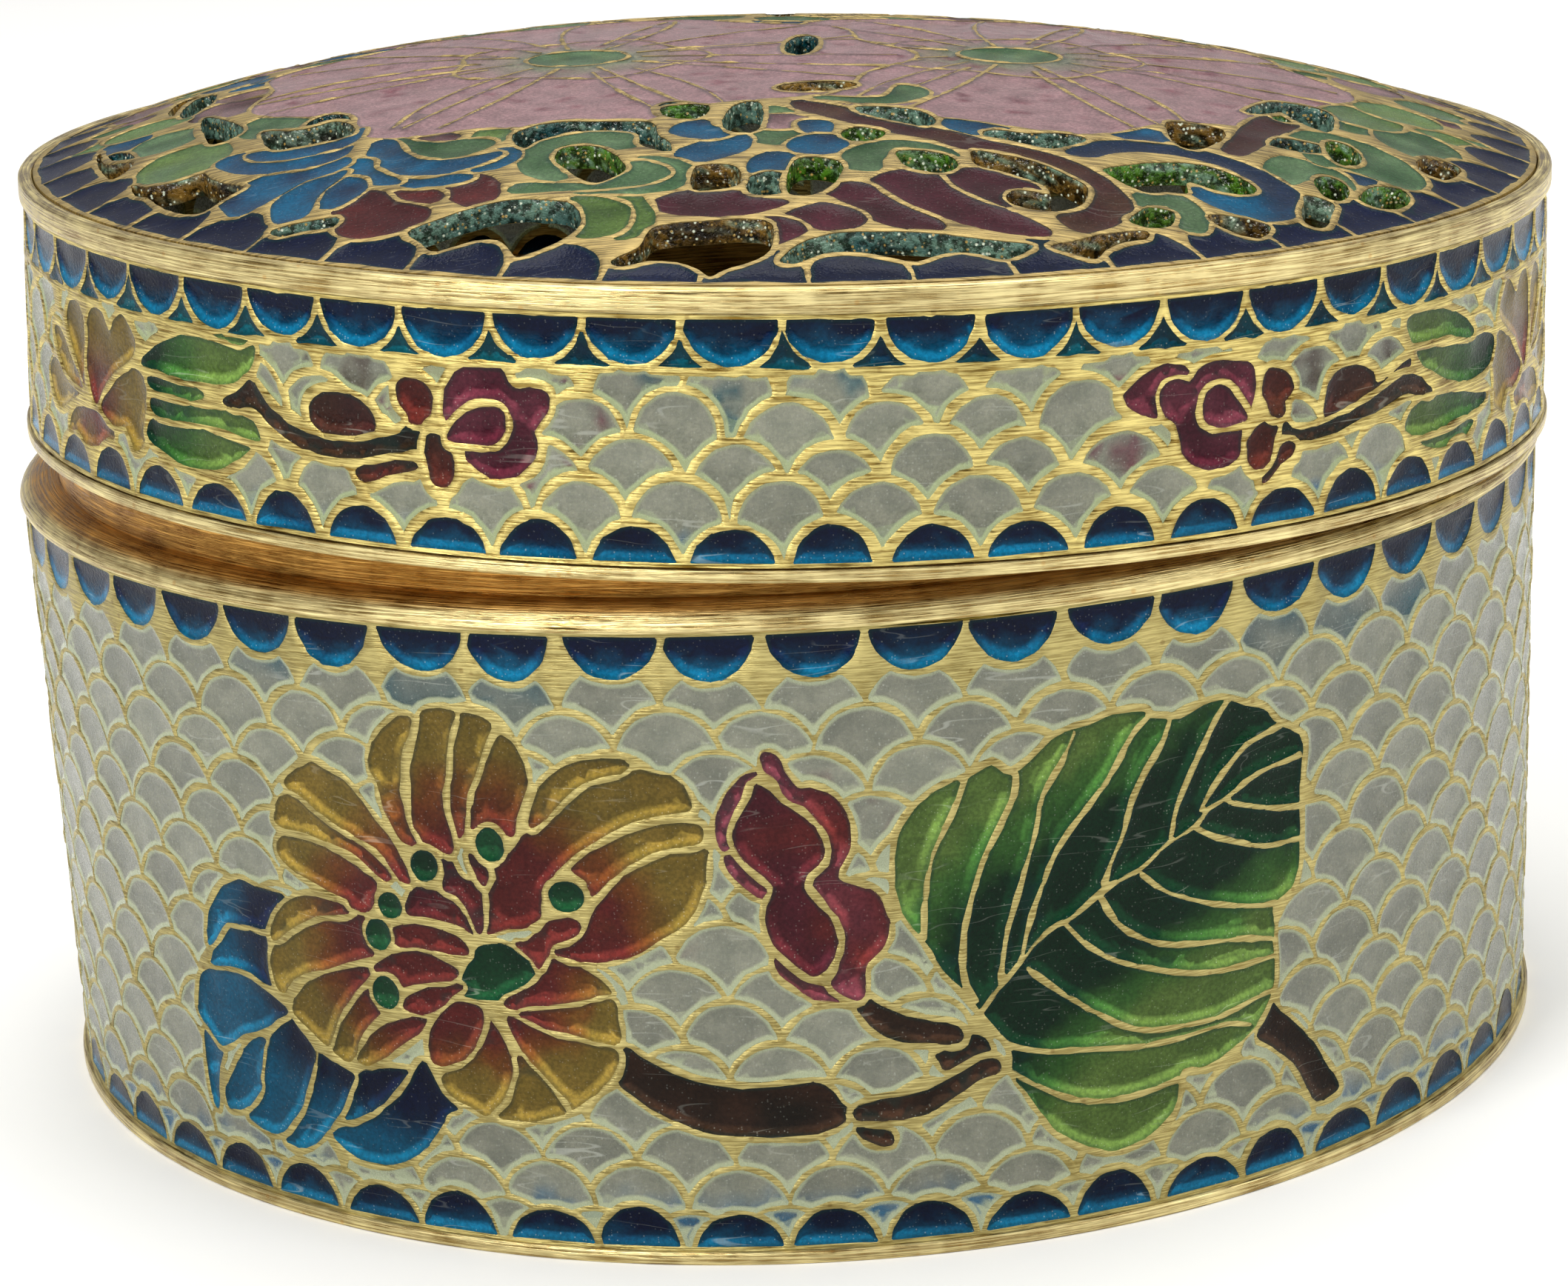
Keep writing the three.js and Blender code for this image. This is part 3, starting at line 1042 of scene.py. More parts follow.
def shoreline() -> NodeTree:
    """Masks of painted light and shade: a band along the upper side of each wire, and a thin line round each cell."""

    def build(graph: Graph, given: dict, made: dict) -> None:
        """Add the group's nodes."""
        rim = graph.add("Attribute", attribute_name="rim").outputs["Fac"]
        lift = graph.add("Attribute", attribute_name="lift").outputs["Fac"]
        reach = graph.math("MULTIPLY", given["Width"], 1.6)
        near = graph.add("MapRange", {"Value": rim, 1: given["Width"], 2: reach, 3: 1.0, 4: 0.0}).outputs[0]
        above = graph.ramp(lift, 0.05, 0.5)
        made["Above"] = graph.math("MULTIPLY", near, above)
        made["Line"] = graph.ramp(rim, 0.06, 0.2, 1.0, 0.0)

    return effect("shoreline", {"Width": 0.3}, ["Above", "Line"], build)


def group(graph: Graph, tree: NodeTree, values: dict | None = None) -> Node:
    """Place a group in a material with its own values."""
    node = graph.add("Group", node_tree=tree)
    for key, value in (values or {}).items():
        node.inputs[key].default_value = value
    return node


def finish(name: str, plain: dict) -> tuple[Material, Graph, Node]:
    """Start a material from a Principled shader with plain values."""
    material = bpy.data.materials.new(name)
    material.use_nodes = True
    graph = Graph(material.node_tree)
    shader = material.node_tree.nodes["Principled BSDF"]
    for key, value in plain.items():
        shader.inputs[key].default_value = value
    return material, graph, shader


@dataclass(frozen=True)
class GiltFinish:
    """Brushed gilt metal."""

    name: str
    bright: Colour = linear(240, 222, 160)
    deep: Colour = linear(158, 134, 78)
    rough: float = 0.3
    across: float = 7.0
    along: float = 0.35
    stain: Colour = linear(150, 110, 60)

    def material(self) -> Material:
        """Build the material."""
        made, graph, shader = finish(self.name, {"Metallic": 1.0})
        lines = group(graph, brushing(), {"Across": self.across, "Along": self.along}).outputs["Lines"]
        patches = group(graph, clouding(), {"Density": 0.55}).outputs["Patches"]
        share = graph.math("MULTIPLY_ADD", patches, 0.3, graph.math("MULTIPLY", lines, 0.7))
        tone = graph.mix(share, self.deep, self.bright)
        specks = group(graph, grit(), {"Density": 2.3, "Share": 0.12}).outputs["Specks"]
        # Darkens by the stain colour: the specks are real marks; on the body's rim the stain attribute is painted
        # shade, with a warm painted reflection, in the recess under the lid.
        stained = graph.add("Attribute", attribute_name="stain").outputs["Fac"]
        stained = graph.math("MAXIMUM", graph.math("MULTIPLY", specks, 0.4), stained)
        tone = graph.mix(stained, tone, self.stain, "MULTIPLY")
        graph.tree.links.new(tone, shader.inputs["Base Color"])
        rough = graph.math("MULTIPLY_ADD", lines, 0.16, graph.math("MULTIPLY_ADD", patches, 0.1, self.rough))
        graph.tree.links.new(rough, shader.inputs["Roughness"])
        bump = graph.add("Bump", {"Height": lines, "Strength": 0.5, "Distance": 0.00004})
        graph.tree.links.new(bump.outputs[0], shader.inputs["Normal"])
        return made


@dataclass(frozen=True)
class EnamelFinish:
    """Window enamel: glossy glass with specks, bubbles and scratches; a painted band of light above each wire and a
    painted line round each cell, pale light on clear enamel and dark shade on coloured.
    """

    name: str
    through: float
    band: Colour
    lit_band_width: float = 0.22
    lit_band_share: float = 0.85
    specks: float = 0.5
    rough: float = 0.12
    gloss: float = 0.3
    frost: float = 0.2
    # Dark colour of the line round each cell: painted shade.
    edge: Colour = linear(8, 44, 40)
    edge_light_and_shade_share: float = 0.4
    grain: float = 0.4
    strength: float = 1.0
    blend: str = "MIX"

    def material(self) -> Material:
        """Build the material."""
        made, graph, shader = finish(self.name, {
            "Metallic": 0.0, "Transmission Weight": self.through, "IOR": 1.5, "Specular IOR Level": self.gloss})
        tint = graph.add("Attribute", attribute_name="tint").outputs["Color"]
        tint = graph.mix(1.0, tint, (self.strength, self.strength, self.strength), "MULTIPLY")
        patches = group(graph, clouding(), {"Density": 0.9}).outputs["Patches"]
        fine = group(graph, clouding(), {"Density": 6.0}).outputs["Patches"]
        shaded = graph.mix(1.0, tint, (0.5, 0.55, 0.55), "MULTIPLY")
        tone = graph.mix(graph.math("MULTIPLY", patches, 0.5), tint, shaded)
        tone = graph.mix(graph.math("MULTIPLY", fine, self.grain), tone,
                         graph.mix(1.0, tone, (1.9, 1.9, 1.8), "MULTIPLY"))
        hairs = group(graph, hairlines(), {"Density": 0.4}).outputs["Hairs"]
        specks = group(graph, grit(), {"Density": 8.0, "Share": 0.22}).outputs["Specks"]
        white = graph.math("MAXIMUM", specks, hairs)
        tone = graph.mix(graph.math("MULTIPLY", white, self.specks), tone, linear(206, 210, 198))
        # Painted light and shade: the band above each wire turns pale or brighter as if light came through the thin
        # glass, and the line round each cell is pale light or dark shade by the edge colour.
        shore = group(graph, shoreline(), {"Width": self.lit_band_width})
        above = graph.math("MULTIPLY", shore.outputs["Above"], self.lit_band_share)
        tone = graph.mix(above, tone, self.band, self.blend)
        tone = graph.mix(graph.math("MULTIPLY", shore.outputs["Line"], self.edge_light_and_shade_share), tone, self.edge)
        graph.tree.links.new(tone, shader.inputs["Base Color"])
        rough = graph.math("MULTIPLY_ADD", white, 0.3, graph.math("MULTIPLY_ADD", fine, self.frost, self.rough))
        graph.tree.links.new(rough, shader.inputs["Roughness"])
        bump = graph.add("Bump", {"Height": fine, "Strength": 0.15, "Distance": 0.00005})
        graph.tree.links.new(bump.outputs[0], shader.inputs["Normal"])
        return made


@dataclass(frozen=True)
class FracturedFinish:
    """Rough, glassy sides of the openings, with painted white and gold glints and a painted glow from emission."""

    name: str

    def material(self) -> Material:
        """Build the material."""
        # Emission: a painted glow, as if the sides were lit from inside.
        made, graph, shader = finish(self.name, {"Metallic": 0.0, "Emission Strength": 0.3})
        tint = graph.add("Attribute", attribute_name="tint").outputs["Color"]
        place = graph.add("TexCoord").outputs["Object"]
        cloud = graph.add("TexNoise", {"Vector": place, "Scale": 2600.0, "Detail": 3.0, "Roughness": 0.7})
        crystal = graph.add("TexVoronoi", {"Vector": place, "Scale": 6500.0})
        chance = graph.add("SeparateColor", {0: crystal.outputs["Color"]}).outputs
        tone = graph.mix(graph.ramp(cloud.outputs[0], 0.4, 0.6), graph.mix(1.0, tint, (0.08, 0.08, 0.06), "MULTIPLY"),
                         graph.mix(1.0, tint, (0.62, 0.6, 0.55), "MULTIPLY"))
        # Painted glints: white and gold specks on some of the crystals.
        core = graph.ramp(crystal.outputs["Distance"], 0.2, 0.5, 1.0, 0.0)
        glint = graph.math("MULTIPLY", core, graph.ramp(chance[1], 0.8, 0.9))
        tone = graph.mix(glint, tone, linear(206, 214, 190))
        tone = graph.mix(graph.math("MULTIPLY", core, graph.ramp(chance[2], 0.82, 0.9)), tone, linear(170, 140, 76))
        graph.tree.links.new(tone, shader.inputs["Base Color"])
        graph.tree.links.new(tone, shader.inputs["Emission Color"])
        graph.tree.links.new(graph.math("MULTIPLY_ADD", chance[1], 0.3, 0.06), shader.inputs["Roughness"])
        bump = graph.add("Bump", {"Height": cloud.outputs[0], "Strength": 0.8, "Distance": 0.0002})
        graph.tree.links.new(bump.outputs[0], shader.inputs["Normal"])
        return made


FLOWER_LINES = traced_lines("""
top_1 -142 228 -6 0 -7 -5 -5 -6 -3 -7 0 -6 3 -5 1 -8 4 -9 4 -6 7 -1 -4 8 -1 8 -1 6 1 8 1 8 4 8
top_2 -138 225 2 6 6 2 5 0 3 -2 -3 -8 -2 -10 -1 -8 -2 -6 0 -8 2 -9 1 -7 -2 -3 -3 1 -6 3 -5 1 -1 5 -1 9 1 8 0 7 3 10
top_3 -120 231 4 1 6 -1 4 -3 -2 -5 -3 -7 -3 -8 -4 -7 -2 -7 -1 -8 -2 -6 -3 0 -1 5 0 8 1 7 1 8 1 8 2 9
top_4 -102 224 4 -3 3 -5 2 -7 0 -6 -2 -6 -3 -8 -2 -7 -4 1 -3 3 -4 0 -3 -2 -4 0 -1 4 3 6 1 5 3 6 3 7 4 9
heart_1 -120 173 4 -2 3 -4 1 -3 -2 -4 -2 1 -2 4 -2 4
heart_2 -133 173 4 -2 3 -7 4 -3 3 0 3 -3 0 -8 -1 -9 -2 -1 -2 6 -3 5 -4 4 -5 2 1 7 -1 5
heart_3 -145 156 7 0 6 -2 5 -3 5 -7 2 -6 -4 3 -7 2 -9 1 -8 0 -3 2 1 5 2 3
right_1 -62 215 9 0 3 -2 -4 -3 -8 -2 -8 -3 -7 -6 -8 -8 -6 -5 -2 1 1 4 3 8 4 6 8 6 7 3
right_2 -66 204 16 6 12 -1 8 -3 4 -7 0 -5 -8 -1 -10 -2 -10 -3 -12 -7 -9 -6 -8 -8 -4 -6 -3 -7 -1 -6 -6 -4 -8 -1 -9 -3
-2 2 1 8 1 8 2 7 6 5 5 5 4 6 6 4 8 6 8 7
right_3 -23 188 1 -5 -3 -3 -9 -1 -8 -2 -10 -5 -8 -6 -6 -7 -4 -1 0 6 -5 3 -2 3 2 3 9 4 12 6 12 4 10 2
right_4 -21 178 0 -6 -1 -8 -4 -10 -6 -8 -10 -6 -10 -6 -10 -3 -11 -1 -10 2 -2 2 6 2 6 4 3 6 2 6 6 7 8 7 12 7 12 4
right_5 -102 136 5 1 6 5 4 4 8 2 4 -1 1 -4 -3 -5 -6 -3 -4 -1 -2 -2 -2 -3 -2 -3 -2 4 -4 3
left_1 -196 203 4 1 7 -3 8 -3 7 -7 7 -8 5 -5 5 -9 4 -9 -1 -2 -3 1 -5 7 -6 5 -9 4 -10 4 -10 5 -8 5 -6 2 -2 3 6 5
left_2 -214 184 7 4 10 -4 12 -7 12 -5 8 -5 5 -5 2 -3 -4 -1 -8 6 -9 5 -12 2 -10 2 -10 0 -6 2 1 4
left_3 -214 169 7 1 10 -1 10 -2 10 -4 7 -4 5 -3 -2 -6 -2 -5 -4 -2 -6 1 -2 3 -8 2 -10 3 -10 4 -7 4 -1 5
under_1 -193 145 14 -2 -4 -3 -12 -2 -10 -4 -10 -6 -7 -5 -4 0 1 5 5 7 7 6 10 4
under_2 -226 117 7 6 10 5 12 7 12 4 10 1 5 -1 -2 -5 -2 -6 4 -3 -7 -3 -8 -3 -10 -4 -12 -4 -10 -6 -4 -5 -4 1 -2 8
under_3 -158 137 10 3 10 -1 8 -2 5 -3 1 -4 -4 -1 -10 1 -10 1 -8 -1 -4 2 0 3
under_4 -151 128 7 0 8 -3 6 -3 -3 -4 -11 -2 -10 -3 -4 -1 -4 3 -5 2 -3 1 2 2 8 5
under_5 -128 115 -4 -3 -8 -7 -6 -3 -8 0 -3 2 3 4 8 4 8 3 7 1
under_6 -217 93 8 11 12 7 12 4 10 3 3 -1 -3 -4 -8 -8 -8 -10 -5 -10 -3 -5 -6 3 -6 4
under_7 -196 79 5 10 6 8 6 7 5 4 4 -1 2 -6 -2 -3 -5 -4 -6 -7 -4 -9 -3 -3 -5 1
under_8 -181 79 8 10 7 5 10 4 8 2 1 -2 -4 -5 -9 -7 -10 -7 -7 -4 -5 1
under_9 -145 93 4 6 5 6 5 3 7 0 4 -2 0 -7 -4 -8 -6 -7 -8 -4 -6 0 -2 5
low_1 -118 105 2 -4 4 -6 3 -8 1 -6 -2 -6 -3 -7 -5 -5 -4 -3 -6 3 -8 3 -4 4 -1 5 5 3 6 3 6 6 4 8
low_2 -105 87 4 -4 6 -6 5 -6 4 -6 -3 -2 -10 -3 -10 -1 -7 1 3 5 4 6 3 6
low_3 -108 104 7 -3 10 -4 12 -2 9 -2 7 -1 1 -5 -3 -6 -5 -6 -5 -4 -9 -6 -3 3 -6 7 -6 8 -5 9 -3 6
low_4 -102 106 13 2 12 2 10 3 5 0 1 -8 0 -9 -9 0 -11 1 -12 3 -8 3
low_5 -88 132 6 -2 9 -4 6 -4 4 -5 -4 -2 -10 -3 -12 -2 -12 -2 -8 1 2 3 8 4 6 5 3 5
centre -111 135 6 -1 7 -5 3 -4 -2 -4 -5 -5 -7 -4 -10 -1 -7 0 -2 4 2 7 4 6 3 5
blue_1 -250 142 8 3 10 -2 10 0 6 -1 -4 -4 -4 -6 -5 -6 -9 0 -10 -1 -6 -1 -7 -7 -5 -5 -3 0 1 7 2 7 6 8 6 6
blue_2 -267 106 7 9 8 7 10 2 12 0 1 -7 0 -8 2 -7 -5 -1 -8 3 -10 1 -10 -1 -8 -1
blue_3 -280 87 3 8 7 5 10 3 12 0 12 -4 10 -4 6 -4 -6 -4 -8 -5 -8 -4 -8 -3 -8 -5 -8 -4 -5 3 -7 6 -3 4
blue_4 -278 70 7 -4 5 -3 -4 -7 -2 -8 -1 -10 -2 -2 -3 6 -1 12 0 10
blue_5 -236 75 -2 -3 -2 -8 -2 -7 0 -5 -6 -7 -7 -5 -8 -2 -3 1 0 7 5 8 6 8 8 9 7 4
blue_6 -220 89 5 -4 6 -6 2 -4 -2 -7 -4 -10 -5 -10 -6 -7 -6 -6 -8 -2 -8 2 -6 2 4 5 5 5 2 7 2 8 3 8 4 7 6 6
blue_7 -204 75 7 -2 8 -3 3 -2 -3 -6 -4 -8 -5 -7 -7 -7 -8 -7 -7 -3 -6 0 -3 2 7 6 5 7 5 8 4 9 2 8
blue_8 -181 71 11 3 10 1 2 -1 -6 -7 -7 -7 -8 -6 -9 -5 -6 -1 1 4 5 8 3 6
blue_9 -150 80 4 -5 3 -6 5 -5 3 -3 -5 -2 -4 -7 -6 -8 -10 -8 -10 -4 -9 -1 -10 1 -8 4 -3 3 2 4 9 3 12 5 9 7 8 8 5 8
""")

LEAF_LINES = traced_lines("""
leaf 88 101 -10 13 -7 9 -6 11 -7 10 -4 13 0 14 2 10 6 9 10 8 13 4 10 4 8 -5 11 7 6 5 9 3 8 1 10 3 14 -1 2 -3 8 -2 7 -1
11 4 11 0 10 -4 10 -4 8 -8 9 -5 5 -6 -1 -12 -1 -15 0 -15 -1 -12 -4 -8 -10 -5 1 -8 -1 -8 1 -9 -1 -11 -7 -12 -8 -6 -11
-6 -10 -3 -11 1 -2 -9 -3 -8 -7 -6 -13 -5 -12 0 -12 5 -10 7 -7 9 -7 11 -5 8 -1 12 -6 9
midrib 87 101 8 10 8 8 13 13 12 5 15 10 15 5 12 8 15 6 6 6 10 3 15 7 23 3
v1 65 136 1 16 4 19 8 15 6 16
v2 86 107 -5 10 0 15 3 14 6 19 7 13 7 14 1 8
v3 96 113 3 19 5 16 8 25 4 17 8 12 6 12
v4 105 121 4 15 5 14 8 17 13 15 12 14 8 13 8 7
v5 142 149 3 8 6 12 4 13 7 12 8 11 3 8
v6 173 163 2 10 5 11 7 12 8 13 6 7
v7 187 172 6 8 8 8 9 7 10 3 9 2
v9 201 173 11 -4 14 -4 14 -2
v10 185 165 10 -6 13 -5 12 -4 20 -1
v11 159 150 9 -8 14 -7 17 -6 17 -4 10 -1
v12 141 142 6 -10 11 -9 12 -5 17 -3 18 -2 19 -4
v13 125 134 10 -11 12 -8 15 -6 16 -5 17 -3 25 0 6 0
v14 108 118 12 -11 15 -11 12 -8 11 -5 16 -2 23 0 19 4 9 1
v15 95 90 4 -4 17 -5 19 -2 23 -3 20 0 21 1 13 -3
v16 99 75 15 -10 14 -7 17 -3 17 1 13 2
bud 1 204 5 -3 4 -5 7 -5 6 -6 3 -7 -1 -7 -5 -4 -2 -4 0 -4 5 -7 5 -6 2 -8 -2 -8 -5 -6 -5 0 -7 6 -6 7 -3 9 1 8 3 5 -1 4
-4 4 -6 6 -4 8 1 7 4 7 3 5
sepal_1 4 217 5 -1 3 -7 5 -7 5 0 7 -3 5 -6 3 -9 -1 -9 -4 -7 0 -5 7 -3 7 -3 4 -8 1 -9 -3 -7 -6 -5 -2 -5 0 -8 -3 -3 -6 3
-4 4 2 4 3 9 0 10 -3 8 -4 7 -4 5 1 5 5 5 1 8 -3 8 -6 7 -6 3 -4 8 -5 5
sepal_2 5 132 7 -7 7 -5 6 -2 7 -4 -1 -2 -11 2 -7 5 -7 6
sepal_3 1 209 -4 -3 -3 -8 -4 -9 -1 -9 -3 -2 -2 6 1 8 4 8 6 7
sepal_4 -12 176 4 -5 7 -7 4 -4 -1 -3 -5 2 -6 6 -4 6
twig_2 34 65 7 3 12 1 11 2 12 5 11 5 7 0 1 -5 -8 -3 -11 -6 -12 -6 -11 -2 -12 1 -6 1
twig_3 39 116 4 -5 10 -6 11 -4 12 -3 4 -4 -2 -4 -10 1 -13 2 -10 5 -6 7 -3 7
twig_4 68 86 8 1 4 5 7 0 4 -5 -1 -5 -10 -2 -8 -1 -2 3
twig_5 35 57 8 -1 6 -2 0 -5 -6 0 -5 3
twig_6 223 80 5 -4 11 -10 8 -9 8 -11 7 -9 1 -6 -13 -1 -7 10 -8 12 -13 11 -6 5
twig_1 -59 93.5 9 -5.5 16 -7.5 17 -4 17 -0.5 18 1.5 7 -3.5 3.5 -6 4 -4 -4.5 -5 -10 -3.5 -13 -0.5 -14 0.5 -15 1.5 -12 4
-12 6 -11 8 -4.5 6.5
""")

DOME_LINES = traced_lines("""
stem 10 -140 9 -3 12 -9 12 -12 17 -12 16 -10 14 -9 12 -4 12 -6 12 -9 10 -12 7 -14 3 -12 -3 -12 -7 -10 -9 -6 -8 9 7 7 6
12 1 12 -4 11 -10 10 -12 7 -12 5 -14 2 -12 10 -17 7 -16 12 -15 14 -9 10
fan_1 -4 -293 4 5 7 2 7 -4 3 -6 -5 -6 -7 -5 -6 1
fan_2 12 -282 12 9 9 -3 7 -7 -2 -7 -9 -5 -10 5 -7 4
fan_3 26 -256 10 5 7 -4 5 -9 9 -10 12 -9 2 -6 -11 -1 -12 4 -10 10 -7 11 -6 5
fan_4 46 -245 9 9 9 1 5 -5 5 -12 12 -12 16 -10 10 -8 -1 -5 -16 0 -16 5 -15 11 -12 14 -6 7
fan_5 73 -238 8 7 12 1 9 -3 10 -10 2 -5 -9 0 -6 -4 -1 -12 -8 2 -9 10 -6 7
hook 124 -199 7 11 12 8 14 3 19 0 14 -5 12 -8 10 -12 5 -12 -2 -12 -5 -10 -10 -6 -12 2 -9 5 -6 8 3 3 12 -1 10 4 3 7 -1
9 -7 10 -12 7 -14 2 -15 -2 -12 -7 -7 -7 -6 0
curl_1 150 -240 7 7 10 -2 6 -8 3 -12 -2 -9 -6 0 -1 9 -3 10 -7 0 -5 -3 -2 2
curl_2 35 -233 -2 12 5 11 10 8 12 1 11 -6 6 -8 -6 1 -9 4 -10 -1 -4 -6 -2 -9 -1 -9 -7 -1
drop_1 11 -205 6 9 9 1 5 -7 0 -10 -6 -6 -8 0 -6 6
drop_2 15 -174 8 0 2 -9 -2 -9 -6 3 -3 8
curl_3 56 -105 7 -9 0 -12 -8 -10 -12 -4 -12 2 -12 5 5 2 12 -2 12 3 4 11 2 11
bar 215 -102 6 -3 2 -7 -9 -19 -7 -17 -7 -16 -6 -10 -4 5 5 17 5 19 7 19
leaf_1 220 -129 9 10 16 2 15 -9 9 -12 4 -17 -6 -12 -10 0 -7 3 -12 2 -9 -2 -5 12 -5 12
leaf_2 207 -181 7 14 15 0 9 -7 2 -14 -7 -2 -12 2 -7 -10 -7 8
plume_1 -220 -152 12 -3 15 -1 12 4 6 9 -2 -19 -12 -6 -14 0 -12 6
plume_2 -233 -155 6 6 5 -3 2 -10 12 -7 15 -2 15 6 0 -12 -11 -8 -11 0 -12 3 -10 7 -8 11
plume_3 -223 -210 3 12 12 10 10 2 9 -1 11 4 3 -7 -6 -8 -10 -4 -7 -8 -7 -9 -10 -8 -5 6 -2 6
plume_4 -198 -220 5 10 9 8 9 1 -3 -9 -5 -9 -2 -12 0 -9 -5 -6 -6 3 -3 11
plume_5 -183 -226 3 12 6 4 7 -4 3 -10 -4 -9 -6 -6 -6 3
plume_6 -170 -189 5 -4 1 -9 6 -10 8 -11 -5 0 -10 6 -6 12 -1 10
plume_7 -164 -167 6 -4 5 -15 7 -12 12 -8 12 1 10 3 1 -4 -9 -8 -14 -5 -14 5 -10 12 -6 14 -1 12
cup -155 -169 7 -7 12 -6 14 1 7 -5 -2 -7 -10 -7 -12 0 -9 7 -6 12
plume_8 -149 -220 10 -5 15 0 4 -4 -7 -3 -14 1 -6 5
plume_9 -110 -198 6 -2 1 -10 -5 -9 -7 -2 -3 2 8 9
petal_1 -170 -235 8 5 7 -5 5 -10 9 -7 7 -6 -2 -9 -10 -6 -12 0 -8 6 -5 12 -1 12
petal_2 -148 -235 9 0 8 -7 0 -7 -8 -1 -7 5 -3 6
petal_3 -128 -229 8 3 8 -5 4 -9 0 -12 -7 -6 -7 6 -6 12
scroll_1 -99 -205 6 15 12 8 14 -1 11 -7 3 -10 -3 -7 -10 0 -4 7 -7 2 -9 -4 -3 -12 2 -12 7 -12 -6 -1 -9 8 -4 12
scroll_2 -99 -243 13 -1 14 -4 12 3 7 9 0 10 7 -3 6 -7 -1 -7 -9 -6 -17 -2 -19 1 -13 1
scroll_3 -50 -220 11 -4 8 -9 1 -12 -6 -10 -12 -3 -14 2 -12 2 14 2 17 2 7 10 -4 10
frond_1 -74 -261 9 -2 10 -8 2 -12 -3 -10 -9 -3 -6 3 1 12 -1 10
frond_2 -58 -261 8 -1 5 -12 2 -14 -6 -10 -6 0 5 10 0 12 -4 9
almond -42 -269 8 7 12 2 14 -2 8 -7 9 -2 -12 -9 -14 -2 -14 2 -9 6
sprig_1 -36 -176 8 5 3 -10 8 -7 0 -5 -7 -5 -10 4 -5 8
sprig_2 -34 -212 7 7 7 11 10 -1 2 -10 -2 -9 -10 -10 -9 -2 -6 7
""")


